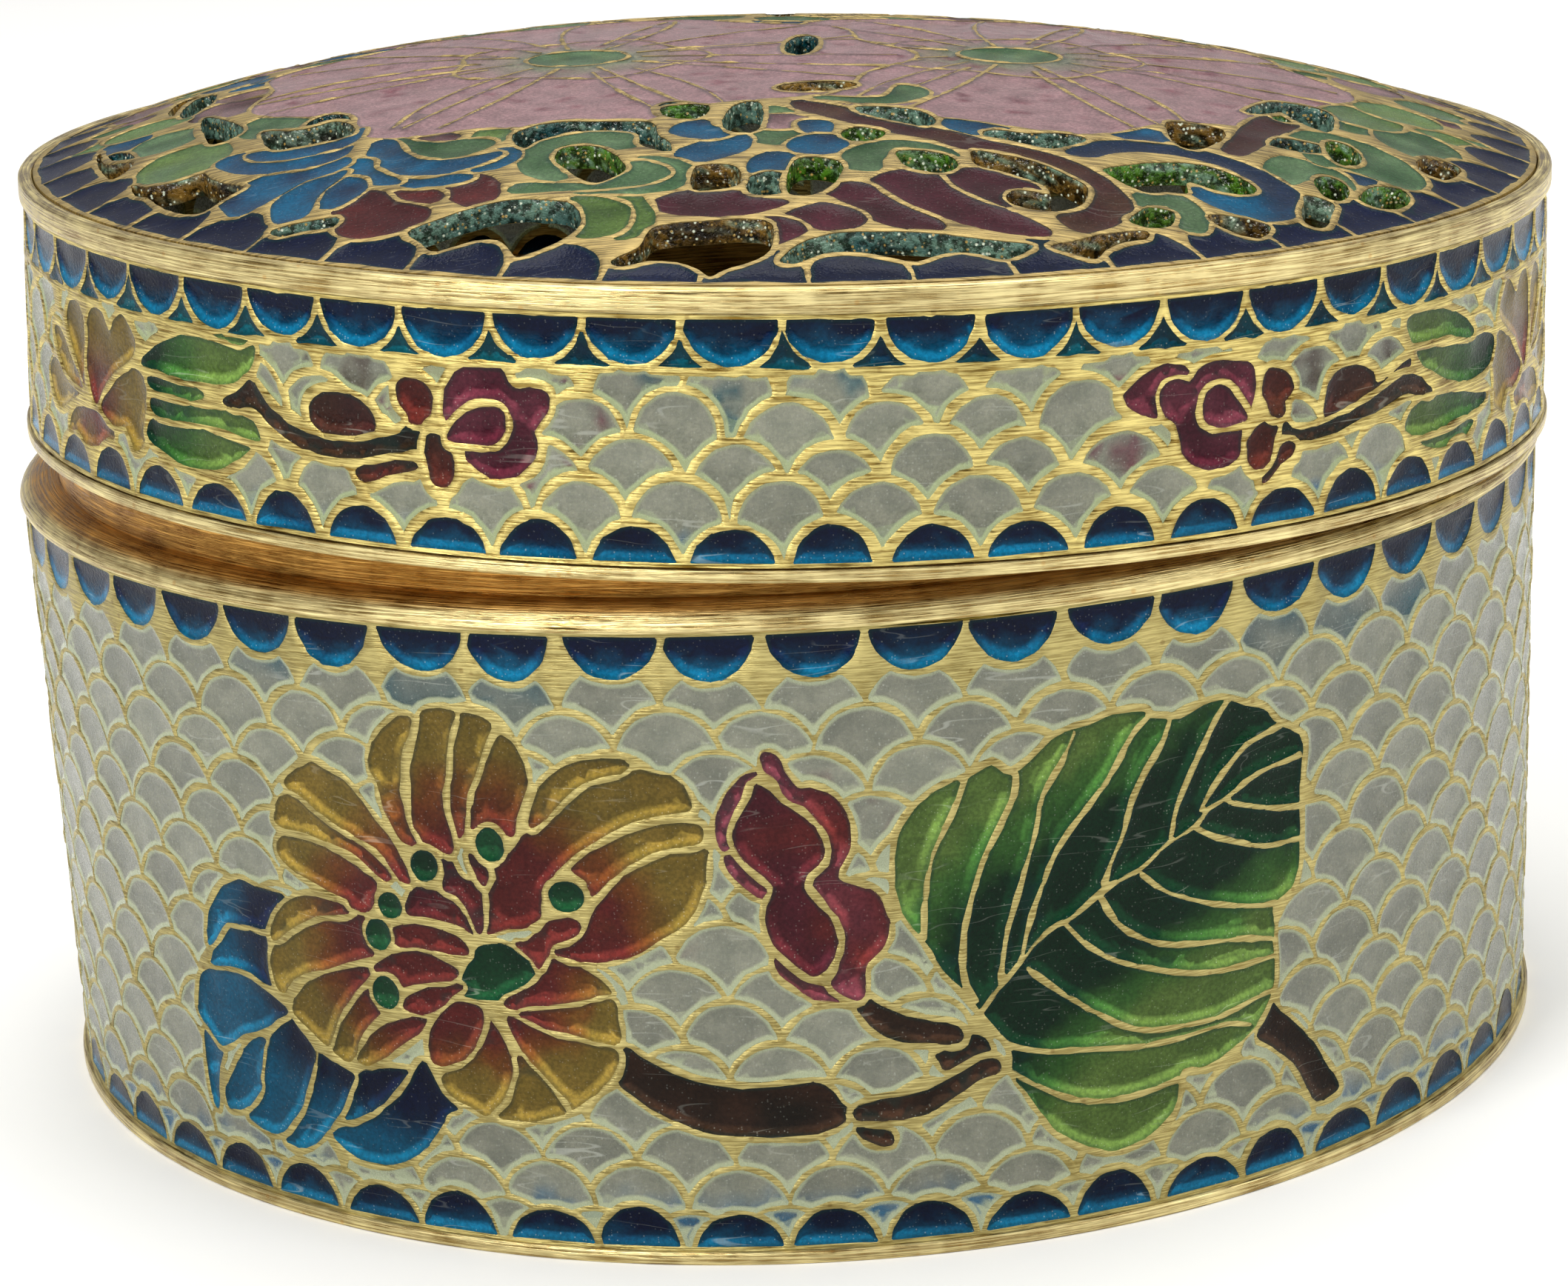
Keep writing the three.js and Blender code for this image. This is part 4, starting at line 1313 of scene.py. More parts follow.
SPRIG_LINES = traced_lines("""
rose_1 -124.4 52 2.4 6 6 5.6 7 2.4 7 -0.4 2.6 -4.6 -1.2 -5 -4.4 -4.4 -9 -0.4
rose_2 -126 62 0.4 7 2.6 6 4 5.4 8 3.6 9 -2 3.4 -5.6 3.6 -2.8 6 0.8 6.4 -1.8 0.6 -5.6 -3.6 -6 -2.4 -3.4 1.6 -6 -2.6
-6.6 -7 -5.4 -8 -1.2 -7 2.2 -5 4.4 -1.6 4 -6.4 1.8 0.4 6.8
rose_3 184.2 58.7 1.9 5.2 5.2 2.7 5.3 -1.9 5.2 -6 4 -6.1 -2.6 -1.8 -7.9 -0.8 -6.6 0.8 -4 3.4
rose_4 165 63.9 1.8 5.3 6.1 1.3 5.3 -1.3 3.9 4.5 7.9 2.1 10.5 -0.5 7.9 -2.1 1.3 -6.6 -0.8 -6.6 -2.6 -8.4 -3.1 -3.4
-0.6 -5.3 -0.8 -5.3 -5.2 -3.4 -7.9 -0.5 -7.9 2.1 -5.3 4.5 -1.8 5.2 -2.1 7.9 -4.8 4
rose_5 147.9 66.6 2.6 2.6 6.6 5.3 9.2 2.6 9.2 -1.8 2.7 -3.5 -6.6 -1.3 -6.6 -1.3 -1.8 -6.6 0.5 -5.2 -5.3 0.5 -6.6 3.4
knob_1 -147 70 1.4 3.4 3.6 1.6 5 -0.4 4 -2.6 1.6 -4.4 -0.6 -5.2 -3 -2.8 -1.4 -2 -4.6 0 -1 3.4 -3.6 3.4
knob_2 -133.6 53 4.6 0.4 4 -2.4 2.6 -6 0.4 -7 -3 -5 -5 -0.4 -2.6 3.4 -0.4 5 -2 5.4
knob_3 -167 35.6 5 2.4 8 1.6 8 2 6 0.4 2 -2 -3 -1.6 -7 -1.4 -6 -2 -6 -3 -5 0
knob_4 213.7 63.9 1.3 4.5 3.9 2.1 6.6 -2.6 4 -5.3 -1.3 -3.9 -2.7 -2.6 0 -4.5 -3.9 -1.6 -4 2.1 -1.3 5.3 -2.6 2.6
knob_5 207.1 44.2 4 4 6.5 1.8 4 -1.8 -1.3 -5.3 -1.4 -6.6 -3.9 -5.2 -5.3 -0.8 -3.4 4.7 -0.5 5.3
knob_6 213.7 24.5 1.3 5.2 3.9 5.3 6.6 4.5 5.3 -1.9 -1.3 -3.9 -6.6 -2.6 -4 -4
stem_1 -237 55 3 2.6 6 3.4 5 4.6 3 -0.6 3 -3 5 -4.4 7 -4.6 7 -3.6 8 -1.8 10 -1.2 10 0 10 2 8 2.6 6 2 4.6 3 5.4 0.4 1
-4.4 -2 -4.4 -4 -1.2 -7 -1.4 -10 -2 -10 -2 -10 -1 -10 1 -10 2.6 -8 2.8 -6 3.6 -6 4 -5 1 -7 -1.4
stem_2 225.5 47.4 4 -3.2 7.9 -1.3 13.1 1.3 15.8 3.2 15.8 4.2 13.2 4.5 9.2 -0.8 9.2 -4.5 5.2 -4.7 -10.5 0.7 -7.9 2.1
-10.5 -2.1 -15.8 -3.1 -18.4 -3.4 -13.2 -1.4 -11.8 0.6 -7.9 2.6
husk_1 -190 57.6 2 4.4 5 3 8 1 8 -1 7 -4 3 -6 -3 -5 -8 -1 -12 0.4 -7 2.6
husk_2 247.9 46.8 0.5 9.3 3.4 6.5 7.9 2.7 9.2 -0.6 7.9 -4.2 3.2 -4.4 12.6 3.9 9.2 2.6 -1.3 -3.9 -13.1 -5.3 -15.8 -5.2
-15.8 -2.7
leaf_1 -293 63 5 5 8 5 10 4 10 2 12 0 12 -1 10 -1 7 3 -0.4 -5 -2.6 -5 -6 -4.4 -8 -2.6 -12 -1 -12 -1 -12 0.4 -10 1
leaf_2 -278.4 84 6.4 -2.4 10 -0.6 12 1 10 -1.6 8 -2.4 7 2 6 6 0.6 5 -1.6 5 -3 -4 -4 -4 -5 -3.6 -8 -1.4 -10 1 -10 1.6
-8 0.4
leaf_3 -286.4 45 0 4.4 6.4 0.6 12 -0.6 14 0.6 14 1 12 0 8 -2 3.6 -5 -0.6 -2.6 -9 0.6 -14 2 -14 0.4 -14 -1 -12 -0.4
leaf_4 -290 35 3 5 7 1.4 12 0.6 14 0 14 -1 10 -0.6 7.6 -1.4 -3.6 -4 -8 -5 -10 -3.6 -12 -1.4 -12 1 -12 3 -7 2.6
leaf_5 -288 57.6 12 1.8 12 -1 10 -0.4 4 -2.4 -10 -2.4 -12 0.4 -12 0
leaf_6 301.8 70.5 -2.6 7.9 9.2 2.1 13.2 -0.8 13.1 -2.6 10.6 -3.9 9.2 -6.6 -1.3 -2.7 -10.6 1.4 -13.1 2.6 -13.2 0 -9.2
0.5
leaf_7 307.1 65.3 11.8 -0.6 15.8 -2.1 15.8 -0.5 15.8 0.5 10.5 -3.9 -2.6 -7.9 -7.9 -4 -13.1 -1.3 -13.2 1.3 -13.2 4
-10.5 5.3 -6.6 4.4
leaf_8 299.2 33.7 4 6.6 10.5 3.4 13.1 0 15.8 -1.6 15.8 -3.7 10.5 -2.1 -7.8 -3.9 -15.8 -1.3 -18.5 -1.4 -18.4 0
leaf_9 311.1 27.1 15.7 1.3 18.5 0.5 10.5 -1.8 -5.3 -3.9 -13.1 -2.1 -13.2 0.7 -9.2 1.9
bloom_1 -366 70 3 7 7 3 7 -2 4 -6 0 -8 -2 -10 1 -8 -6 6 -6 7 -5 5
bloom_2 -343 64 2 10 5 5.6 6 0.4 6 -2 4 -5 6 5 6 3 6 -4 4 -6 -2 -6 -8 -5 -8 -4 -8 -6 -6 -6 -5 -5 -5 7 -2.4 8
bloom_3 -330 40 8 6 8 7 8 6 8 1 7 -4 1 -8 -2 -8 0 -10 -8 -5 -4 5 -4 4 -8 -1 -8 2
bloom_4 -382 65 8 -1 6 -4 8 -7 8 -5 4 -4 -8 0 -10 2 -8 4 -6 6 -3 5
bloom_5 -392 44 8 6 10 -2 12 -4 10 -3 -8 -3 -8 -4 -8 -3 -8 1 -6 5
bloom_6 -365 24 3 6 8 4 10 1.6 10 0 10 -1.6 6 -4 -2 -5 -10 -3 -10 -1.4 -12 -0.2 -8 0.6
bloom_7 449 64 -5 -5 -6 -7 -6 -6 1 8 -2 10 0 8 4 6 7 2 7 -3 3 -7
bloom_8 428.4 54 -2.4 -8 -5 -7 -5 5 -6 6 -8 6 -8 4 -8 5 -2 6 4 6 6 4 6 -3 6 -5 4 5 6 2 6 -0.4 5 -5.6 2 -10
bloom_9 410 35 -8 -2 -8 1 -4 -4 -4 -5 -8 5 0 10 -2 8 1 8 7 4 8 -1 8 -6 8 -7 8 -6
bloom_10 469 61 -3 -5 -6 -6 -8 -4 -10 -2 -8 0 4 4 8 5 8 7 6 4 8 1
bloom_11 476 37 -6 -5 -8 -1 -8 3 -8 4 -8 3 10 3 12 4 10 2 8 -6
bloom_12 446 21 -8 -0.6 -12 0.2 -10 1.4 -10 3 -2 5 6 4 10 1.6 10 0 10 -1.6 8 -4 3 -6
""")

OPENING_LINES = traced_lines("""
gold_1 179 -248 11 3 12 -2 -1 -8 -5 -6 -8 1 -7 5
gold_2 114 -296 10 7 9 7 10 6 9 3 0 -6 -9 -6 -7 -8 -5 -9 -7 2
gold_3 276 -119 10 7 7 -5 -2 -12 -8 -14 -9 5
gold_4 -56 -317 10 10 4 14 8 4 17 2 13 1 9 -5 0 -21 -8 -9 -9 -5 -5 -5 -4 5 -8 6 -12 2 -10 -3
gold_5 -271 -155 6 -7 15 -5 11 3 5 -12 7 -10 10 -10 -7 -9 -7 -9 -8 2 -9 10 -7 12 -5 11 -7 8
gold_6 -300 -74 7 -28 12 -10 4 -7 -5 -17 -8 17 -7 24
grey_1 221 -207 10 -3 -1 -11 -4 -15 -7 -2 -2 9 2 12
honey_1 85 -207 10 -2 12 -5 12 -10 10 -12 1 -9 -3 -12 -8 -7 -9 -2 -9 3 -3 6 2 7 6 2 9 -1 -3 9 -7 5 -10 6 -8 4 -3 8
honey_2 167 -140 9 3 12 -1 3 -10 -5 -14 -7 -12 -7 -1 -5 13
honey_3 -28 -236 4 5 9 0 5 -7 1 -14 -8 -6 -10 1
ice_1 36 -148 12 1 14 -5 7 -15 -4 -10 -10 5 -12 8 -6 7
ice_2 89 -181 6 4 12 -2 12 4 10 -2 2 -6 -7 -8 -7 -7 -7 2 -10 5 -9 3
ice_3 202 -102 12 28 12 7 14 -4 1 -24 -5 -17 -10 6 -7 14 -8 -8
ice_4 -140 -276 9 7 11 6 12 5 10 1 12 -3 9 -4 5 -10 1 -12 -4 -9 -6 -6 -10 -6 -4 1 -5 11 -9 5 -11 -3 -8 -2 -5 8
ice_5 -106 -177 8 10 12 3 16 -3 15 -2 7 -5 2 -16 6 -12 1 -12 -7 4 -6 8 -1 12 -7 7 -14 3 -12 -3 -10 -7 -4 -8 -5 10
ice_6 -271 14 9 0 3 -33 -6 -26 -6 16
ice_7 -198 -251 9 2 17 -1 0 -9 -12 1 -9 -1
lime_1 138 -215 10 8 12 7 11 5 12 -1 10 -6 6 -8 -1 -7 -8 -5 -9 1 -9 4 -2 -7 0 -6 -8 -2 -7 -3 -7 3 -6 7 -3 5
lime_2 14 -224 10 1 7 -6 0 -14 -5 -14 -6 -7 -8 1 -2 11 1 14
lime_3 54 -212 10 1 10 -4 4 -11 -5 -9 -9 0 -7 5 -3 9
lime_4 32 -186 6 5 10 -6 -3 -11 -8 -4 -6 7
lime_5 235 -129 8 3 5 -10 -1 -16 -7 -7 -5 7
lime_6 245 -190 7 13 10 5 3 -11 -7 -15 -10 -4 -5 4
lime_7 228 -181 7 1 4 -10 -3 -13 -7 -2 -4 12
lime_8 148 -260 7 10 9 -2 -2 -12 -9 -5 -7 3
lime_9 -86 -210 3 8 8 1 7 -4 6 -9 4 -10 2 -9 -4 -7 -7 -6 -7 6 -6 11 -5 10
lime_10 -46 -148 10 5 9 -3 0 -16 -7 -7 -9 5
teal_1 10 -318 7 11 12 9 19 3 19 1 14 -1 14 -1 12 -1 -5 -8 -7 -5 -12 3 -12 -3 -9 -7 -10 2 -12 3 -14 -2 -9 -7 -6 -1
teal_2 210 -152 4 14 10 2 9 -2 -2 -10 -10 -5
teal_3 -17 -152 6 12 6 -3 2 -24 -2 -21 -9 -2 -5 14
teal_4 -6 -248 7 8 7 -2 2 -10 -2 -10 -7 -2 -6 3
teal_5 -255 -58 9 -13 10 -19 5 -17 -5 -14 -7 2 -5 17 -5 21
wine_1 -220 -117 12 -7 10 -2 9 5 9 -12 2 -15 -11 -6 -14 -1 -9 5 -6 17
""")


@dataclass(frozen=True)
class Motifs:
    """Cells of the flower, the bud, the leaf and the branch on the body's wall."""

    heart: tuple[float, float] = (-11.3, 12.3)

    def draw(self, drawing: Drawing) -> None:
        """Lay the motifs' cells, front ones first."""
        stamens = ((-14.1, 16.6, 0.62, 1.12), (-11.07, 17.75, 0.62, 1.15), (-7.93, 15.73, 0.78, 0.85),
                   (-15.97, 14.7, 0.56, 1.0), (-16.66, 13.37, 0.6, 1.08), (-16.52, 10.84, 0.66, 1.1))
        green = Tint(Hue.STAMEN, Hue.LEAF_DARK)
        for x, y, radius, stretch in stamens:
            drawing.disc((x, y), radius, Kind.COLOURED, green, 0.3, stretch)
        petals, upper, low, side = (
            Tint(Hue.BURGUNDY, Hue.AMBER, (anchor,), start, stop, Hue.ORANGE)
            for anchor, start, stop in ((self.heart, 5.6, 8.2), (self.heart, 6.0, 9.2), (self.heart, 2.6, 4.8),
                                        ((-14.5, 13.0), 3.6, 6.6)))
        blue = Tint(Hue.NAVY, Hue.TURQUOISE, ((-22.0, 12.6), (-20.0, 8.6), (-15.2, 7.6)), 1.8, 4.2)
        tints = {"top": upper, "heart": Tint(Hue.BURGUNDY, Hue.WINE), "right": petals, "left": side,
                 "under": side, "low": low, "centre": green, "blue": blue}
        drawing.named(FLOWER_LINES, tints, Kind.COLOURED, 0.24, 0.04)
        lines = {name: soften(line, name in ("leaf", "bud") or "_" in name) for name, line in LEAF_LINES.items()}
        veins = tuple(line for name, line in lines.items() if name[0] == "v" or name == "midrib")
        midrib = tuple(map(tuple, LEAF_LINES["midrib"]))
        green = Tint(Hue.LEAF_DARK, Hue.LEAF, midrib, 3.0, 6.0, Hue.FRESH)
        drawing.outline(lines["leaf"], Kind.COLOURED, green, 0.28, -0.06, veins, 0.25)
        drawing.outline(lines["bud"], Kind.COLOURED, Tint(Hue.WINE, Hue.BURGUNDY), 0.3, 0.04)
        for name, line in lines.items():
            if name.startswith("sepal"):
                drawing.outline(line, Kind.COLOURED, Tint(Hue.CRIMSON, Hue.BURGUNDY), 0.28, 0.03)
            if name.startswith("twig"):
                drawing.outline(line, Kind.COLOURED, Tint(Hue.BROWN, Hue.SOOT), 0.3, 0.03)


def scales(drawing: Drawing, tops: np.ndarray, count: int, radius: float, wire: float, first: float,
           tints: Callable[[float, float], Tint], seed: int, circumference: float, loose: float) -> None:
    """Lay overlapping scales, the lowest row first, so that each row covers the feet of the one above.

    Args:
        drawing: Drawing that takes them.
        tops: Heights of the rows' crests, lowest first.
        count: Scales in a full turn.
        radius: Radius of a scale.
        wire: Width of the wire between scales.
        first: Place of one crest in the last row.
        tints: Gives a scale's colour from its place.
        seed: Chooses the hand-made unevenness.
        circumference: Length of a full turn.
        loose: How far a scale strays from its place.
    """
    chance = np.random.default_rng(seed)
    pitch = circumference / count
    for row, top in enumerate(tops):
        for col in range(count):
            across = first + (col + 0.5 * ((len(tops) - 1 - row) % 2)) * pitch
            across = (across + circumference / 2) % circumference - circumference / 2
            off = chance.uniform(-loose, loose, 2)
            size = radius * (1.0 + loose * chance.uniform(-0.3, 0.34))
            centre = (across + off[0], top - size + off[1])
            drawing.disc(centre, size, Kind.CLEAR, tints(centre[0], centre[1]), wire * chance.uniform(0.8, 1.25))


def made_by(finish: GiltFinish | EnamelFinish | FracturedFinish) -> Material:
    """Field whose material is built together with the others."""
    return field(default_factory=finish.material)


@dataclass
class Finishes:
    """Every material of the box."""

    wire: Material = made_by(GiltFinish(
        "gilt_wire", bright=linear(206, 192, 128), deep=linear(136, 120, 68), rough=0.3, across=13.0, along=0.6))
    lid_wire: Material = made_by(GiltFinish(
        "gilt_lid_wire", bright=linear(240, 222, 142), deep=linear(126, 100, 42), rough=0.26, across=11.0, along=0.5))
    dull_wire: Material = made_by(GiltFinish(
        "dull_gilt_wire", bright=linear(186, 164, 108), deep=linear(104, 88, 52), rough=0.36))
    # The ring's orange stain colour tints the painted shade and warm painted reflection in the recess under the lid.
    ring: Material = made_by(GiltFinish(
        "gilt_ring", bright=linear(246, 230, 168), deep=linear(140, 112, 58), rough=0.2, across=11.0, along=0.25,
        stain=linear(234, 184, 110)))
    # Clear enamels: the pale band and the pale edge line are painted light where the glass meets a wire.
    clear: Material = made_by(EnamelFinish(
        "clear_enamel", through=0.35, band=linear(196, 204, 166), lit_band_width=0.15, lit_band_share=0.85, specks=0.5,
        gloss=0.45, edge=linear(186, 196, 158), edge_light_and_shade_share=0.75, grain=0.2))
    lid_clear: Material = made_by(EnamelFinish(
        "clear_lid_enamel", through=0.3, band=linear(188, 204, 156), lit_band_width=0.14, lit_band_share=0.9, specks=0.35,
        rough=0.1, gloss=0.4, frost=0.3, edge=linear(168, 176, 132), edge_light_and_shade_share=0.7, grain=0.25))
    # Coloured enamel: the band brightens the colour about threefold, painted glints at the cells' lower edges; the
    # dark edge line is painted shade.
    coloured: Material = made_by(EnamelFinish(
        "coloured_enamel", through=0.1, band=(3.2, 3.2, 3.0), lit_band_width=0.3, lit_band_share=0.8, specks=0.08,
        rough=0.05, gloss=0.06, frost=0.08, grain=0.6, strength=0.5, blend="MULTIPLY"))
    # Dome enamel: the band brightens the colour, a painted highlight; the dark edge line is painted shade.
    dome: Material = made_by(EnamelFinish(
        "dome_enamel", through=0.08, band=(1.6, 1.6, 1.5), lit_band_width=0.2, lit_band_share=0.5, specks=0.06,
        rough=0.1, gloss=0.03, frost=0.1, grain=0.5, strength=0.62, blend="MULTIPLY"))
    fractured: Material = made_by(FracturedFinish("opening_sides"))


@dataclass
class Body:
    """The lower box: foot ring, base, wall and rim."""

    wall_radius: float = 34.7
    foot_radius: float = 34.1
    wall_bottom: float = 0.55
    wall_top: float = 26.7
    wall_thickness: float = 0.95
    count: int = 54
    rows: int = 14
    row_pitch: float = 1.755
    top_row: float = 25.1
    base_radius: float = 32.35
    base_height: float = 0.3
    base_thickness: float = 0.95

    def build(self, finishes: Finishes) -> None:
        """Make the body's pieces and put each in the place of its solid."""
        self.wall(finishes)
        self.base(finishes)
        foot = rounded([(32.4, 0.0), (34.3, 0.0), (34.3, 0.55), (32.4, 0.55)], 0.12)
        settle(Ring(tuple(foot), seed=3, wobble=0.02).part().shown("foot_ring", finishes.ring), "body_foot_ring")
        profile = self.rim_profile()
        # Darker, warmer inner side of the rim and its collar: painted shade and a painted reflection in the recess
        # under the lid.
        stain = tuple(float(ease(np.array(34.62 - x), 0.0, 0.5)) * 0.85 for x, _ in profile)
        settle(Ring(tuple(profile), seed=9, stain=stain).part().shown("rim_ring", finishes.ring), "body_rim")

    def rim_profile(self) -> list[tuple[float, float]]:
        """Section of the rim: an edge, a rounded shoulder and the upright collar."""
        shoulder = [(33.05 + 1.8 * math.cos(a), 26.85 + 0.9 * math.sin(a)) for a in np.linspace(0, math.pi / 2, 14)]
        return [(32.35, 26.7), (33.4, 26.7), (34.7, 26.7), (34.82, 26.74), *shoulder, (33.05, 29.0), (33.05, 30.2),
                (32.98, 30.34), (32.86, 30.4), (32.35, 30.4), (32.35, 28.5)]

    def wall(self, finishes: Finishes) -> None:
        """Draw and build the wall."""
        chart = WallChart(self.wall_bottom, self.wall_top, self.foot_radius, self.wall_radius, self.wall_thickness)
        drawing = Drawing(chart)
        around = TURN * chart.arc_radius
        Motifs().draw(drawing)
        # Navy scallops turn bright blue towards their lower parts: a painted glint of light through the thinner glass
        # there.
        hanging = Tint(Hue.NAVY, Hue.BLUE, all_round(26.7), 0.7, 1.9)
        standing = Tint(Hue.BLUE, Hue.NAVY, all_round(0.5), 0.1, 1.1)
        for number in range(self.count):
            sway = math.sin(number * 2.7)
            across = -1.5 + 0.12 * sway + number * around / self.count - around / 2
            drawing.scallop((across, 26.75), (0.0, -1.0), 3.75 + 0.12 * sway, 2.0 - 0.12 * sway, hanging, 0.28)
            across = -1.6 - 0.15 * sway + number * around / self.count - around / 2
            drawing.scallop((across, 0.4), (0.0, 1.0), 3.6 - 0.15 * sway, 1.85 + 0.2 * sway, standing, 0.3)
        tops = self.top_row - self.row_pitch * np.arange(self.rows)[::-1]
        bled = Tint(Hue.BLUE, Hue.GREY, all_round(1.2), 0.4, 2.2)
        dark = Tint(Hue.TEAL, Hue.GREY, stain=Hue.TEAL, stained=0.1)
        rosy = Tint(Hue.GREY, Hue.GREY, stain=Hue.CRIMSON, stained=0.1)

        def tint(across: float, up: float) -> Tint:
            """Colour of the scale at a place."""
            if up < 3.3:
                return bled if math.sin(across * 2.9) > -0.5 else PLAIN_GREY
            if up > 22.9 and math.sin(across * 1.7) > 0.55:
                return dark
            return rosy if math.hypot(across - 1.5, up - 15) < 5 and math.sin(across * 3.1 + up) > 0.2 else PLAIN_GREY

        scales(drawing, tops, self.count, radius=2.02, wire=0.25, first=2.5, tints=tint, seed=7,
               circumference=around, loose=0.17)
        drawing.finish(margin=0.15, ragged=0.035, seed=11)
        enamels = {Kind.CLEAR: finishes.clear, Kind.COLOURED: finishes.coloured}
        for made in Panel(drawing).build("body_wall", finishes.wire, enamels):
            settle(made, "body_wall")

    def base(self, finishes: Finishes) -> None:
        """Draw and build the base, with plain scales."""
        chart = DiscChart(self.base_radius, self.base_height, self.base_thickness, faces_down=True)
        drawing = Drawing(chart, step=0.12)
        for row in range(19):
            for col in range(-9, 10):
                centre = (col * 3.8 + 1.9 * (row % 2), row * 3.45 - 32.0)
                if math.hypot(*centre) < 31.5:
                    drawing.disc(centre, 2.3, Kind.CLEAR, PLAIN_GREY, 0.45)
        drawing.finish(margin=0.5, ragged=0.05, seed=31)
        for made in Panel(drawing, spacing=0.9).build("base_plate", finishes.wire, {Kind.CLEAR: finishes.clear}):
            settle(made, "body_base_plate")


def settle(piece: Object, node: str) -> None:
    """Let a piece ride on the box and stand for its solid."""
    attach(piece, "root")
    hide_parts(node)


@dataclass
class Lid:
    """The lift-off lid: lower rim, wall, edge band and pierced dome, set askew."""

    tilt: float = 2.07
    shift: float = 0.47
    seat: float = 28.615
    wall_radius: float = 34.6
    shoulder_radius: float = 34.4
    wall_bottom: float = 0.6
    wall_top: float = 10.5
    wall_thickness: float = 0.85
    dome_radius: float = 33.85
    dome_height: float = 11.6
    dome_thickness: float = 1.05
    dome_rise: float = 4.55
    fullness: float = 2.8
    count: int = 56
    edge_count: int = 52

    def place(self) -> Matrix:
        """Where the lid's own frame lies, in millimetres."""
        return Matrix.Translation((self.shift, 0.0, self.seat)) @ Matrix.Rotation(math.radians(self.tilt), 4, "Y")

    def build(self, finishes: Finishes) -> None:
        """Make the lid's pieces and put each in the place of its solid."""
        place = self.place()
        rim = rounded([(34.42, 0.02), (34.73, 0.02), (34.73, 0.53), (33.92, 0.53)], 0.1)
        settle(Ring(tuple(rim), place, seed=15).part().shown("lid_rim", finishes.ring), "lid_lower_rim")
        band = rounded([(33.9, 10.5), (34.55, 10.5), (34.55, 11.58), (33.9, 11.58)], 0.26, 5)
        settle(Ring(tuple(band), place, seed=21).part().shown("lid_band", finishes.ring), "lid_edge_band")
        self.wall(finishes, place)
        self.dome(finishes, place)

    def wall(self, finishes: Finishes, place: Matrix) -> None:
        """Draw and build the lid's wall."""
        chart = WallChart(self.wall_bottom, self.wall_top, self.wall_radius, self.shoulder_radius,
                          self.wall_thickness, place)
        drawing = Drawing(chart)
        around = TURN * chart.arc_radius
        # Navy scallops turn bright blue towards their lower parts: a painted glint of light through the thinner glass
        # there.
        hanging = Tint(Hue.NAVY, Hue.BLUE, all_round(10.5), 0.6, 1.7)
        standing = Tint(Hue.BLUE, Hue.NAVY, all_round(0.6), 0.0, 1.0)
        half_pitch = around / (2 * self.count)
        feet = [-0.9 + number * around / self.count - around / 2 for number in range(self.count)]
        for number, across in enumerate(feet):
            sway = math.sin(number * 2.1)
            drawing.scallop((across, 10.35), (0.0, -1.0), 3.6 + 0.1 * sway, 1.8 + 0.1 * sway, hanging, 0.28)
            drawing.scallop((across, 0.4), (0.0, 1.0), 3.35 + 0.12 * sway, 1.8 - 0.12 * sway, standing, 0.36)
        for across in feet:
            drawing.outline(traced("-11.5 84.5 23 0 -8 10.5 -3.5 4 -3.5 -4") + (across + half_pitch, 0.0),
                            Kind.COLOURED, Tint(Hue.TEAL, Hue.NAVY), 0.26)
        self.sprigs(drawing)
        tops = np.array([3.78, 5.55, 7.35, 8.75])
        teal = Tint(Hue.GREY, Hue.GREY, stain=Hue.TEAL, stained=0.5)
        brown = Tint(Hue.GREY, Hue.GREY, stain=Hue.BROWN, stained=0.5)
        bled = Tint(Hue.BLUE, Hue.GREY, all_round(1.0), 0.0, 1.0)
        rosy = Tint(Hue.GREY, Hue.GREY, stain=Hue.CRIMSON, stained=0.5)

        def tint(across: float, up: float) -> Tint:
            """Colour of the scale at a place."""
            if min(abs(across + 10.5), abs(across - 18)) < 4.6 and up > 3:
                return rosy
            if min(abs(across + 17), abs(across - 26)) < 5.5:
                return brown if up > 2.6 else bled
            if up > 6.9:
                return teal
            return bled if up < 2.6 and math.sin(across * 1.9) > -0.4 else PLAIN_GREY

        scales(drawing, tops, self.count, radius=1.72, wire=0.36, first=-0.9, tints=tint, seed=19,
               circumference=around, loose=0.3)
        drawing.finish(margin=0.16, ragged=0.045, seed=51)
        enamels = {Kind.CLEAR: finishes.lid_clear, Kind.COLOURED: finishes.coloured}
        for made in Panel(drawing).build("lid_wall", finishes.lid_wire, enamels):
            settle(made, "lid_wall")

    def sprigs(self, drawing: Drawing) -> None:
        """Lay the flower sprigs of the lid's front and the blooms at its sides."""
        midst = {"bloom_1": (-33.4, 4.0), "bloom_7": (42.0, 4.0)}
        tints = {"rose": Tint(Hue.WINE, Hue.CRIMSON), "knob": Tint(Hue.BROWN, Hue.BURGUNDY),
                 "stem": Tint(Hue.BROWN, Hue.SOOT), "husk": Tint(Hue.BROWN, Hue.PLUM),
                 "leaf": Tint(Hue.LEAF_DARK, Hue.LEAF, ((-29.5, 11.0), (-29.5, 0.0)), 1.0, 5.0, Hue.FRESH)}
        right = Tint(Hue.LEAF_DARK, Hue.LEAF, ((38.0, 11.0), (38.0, 0.0)), 1.0, 6.0, Hue.FRESH)
        for name, line in SPRIG_LINES.items():
            kind, number = name.split("_")
            if kind == "bloom":
                centre = midst["bloom_1" if int(number) < 7 else "bloom_7"]
                stain = Hue.CRIMSON if number in "56" else None
                tint = Tint(Hue.BURGUNDY, Hue.AMBER, (centre,), 0.5, 3.5, stain=stain)
            else:
                tint = right if kind == "leaf" and int(number) > 5 else tints[kind]
            drawing.outline(soften(line), Kind.COLOURED, tint, 0.28, 0.03)

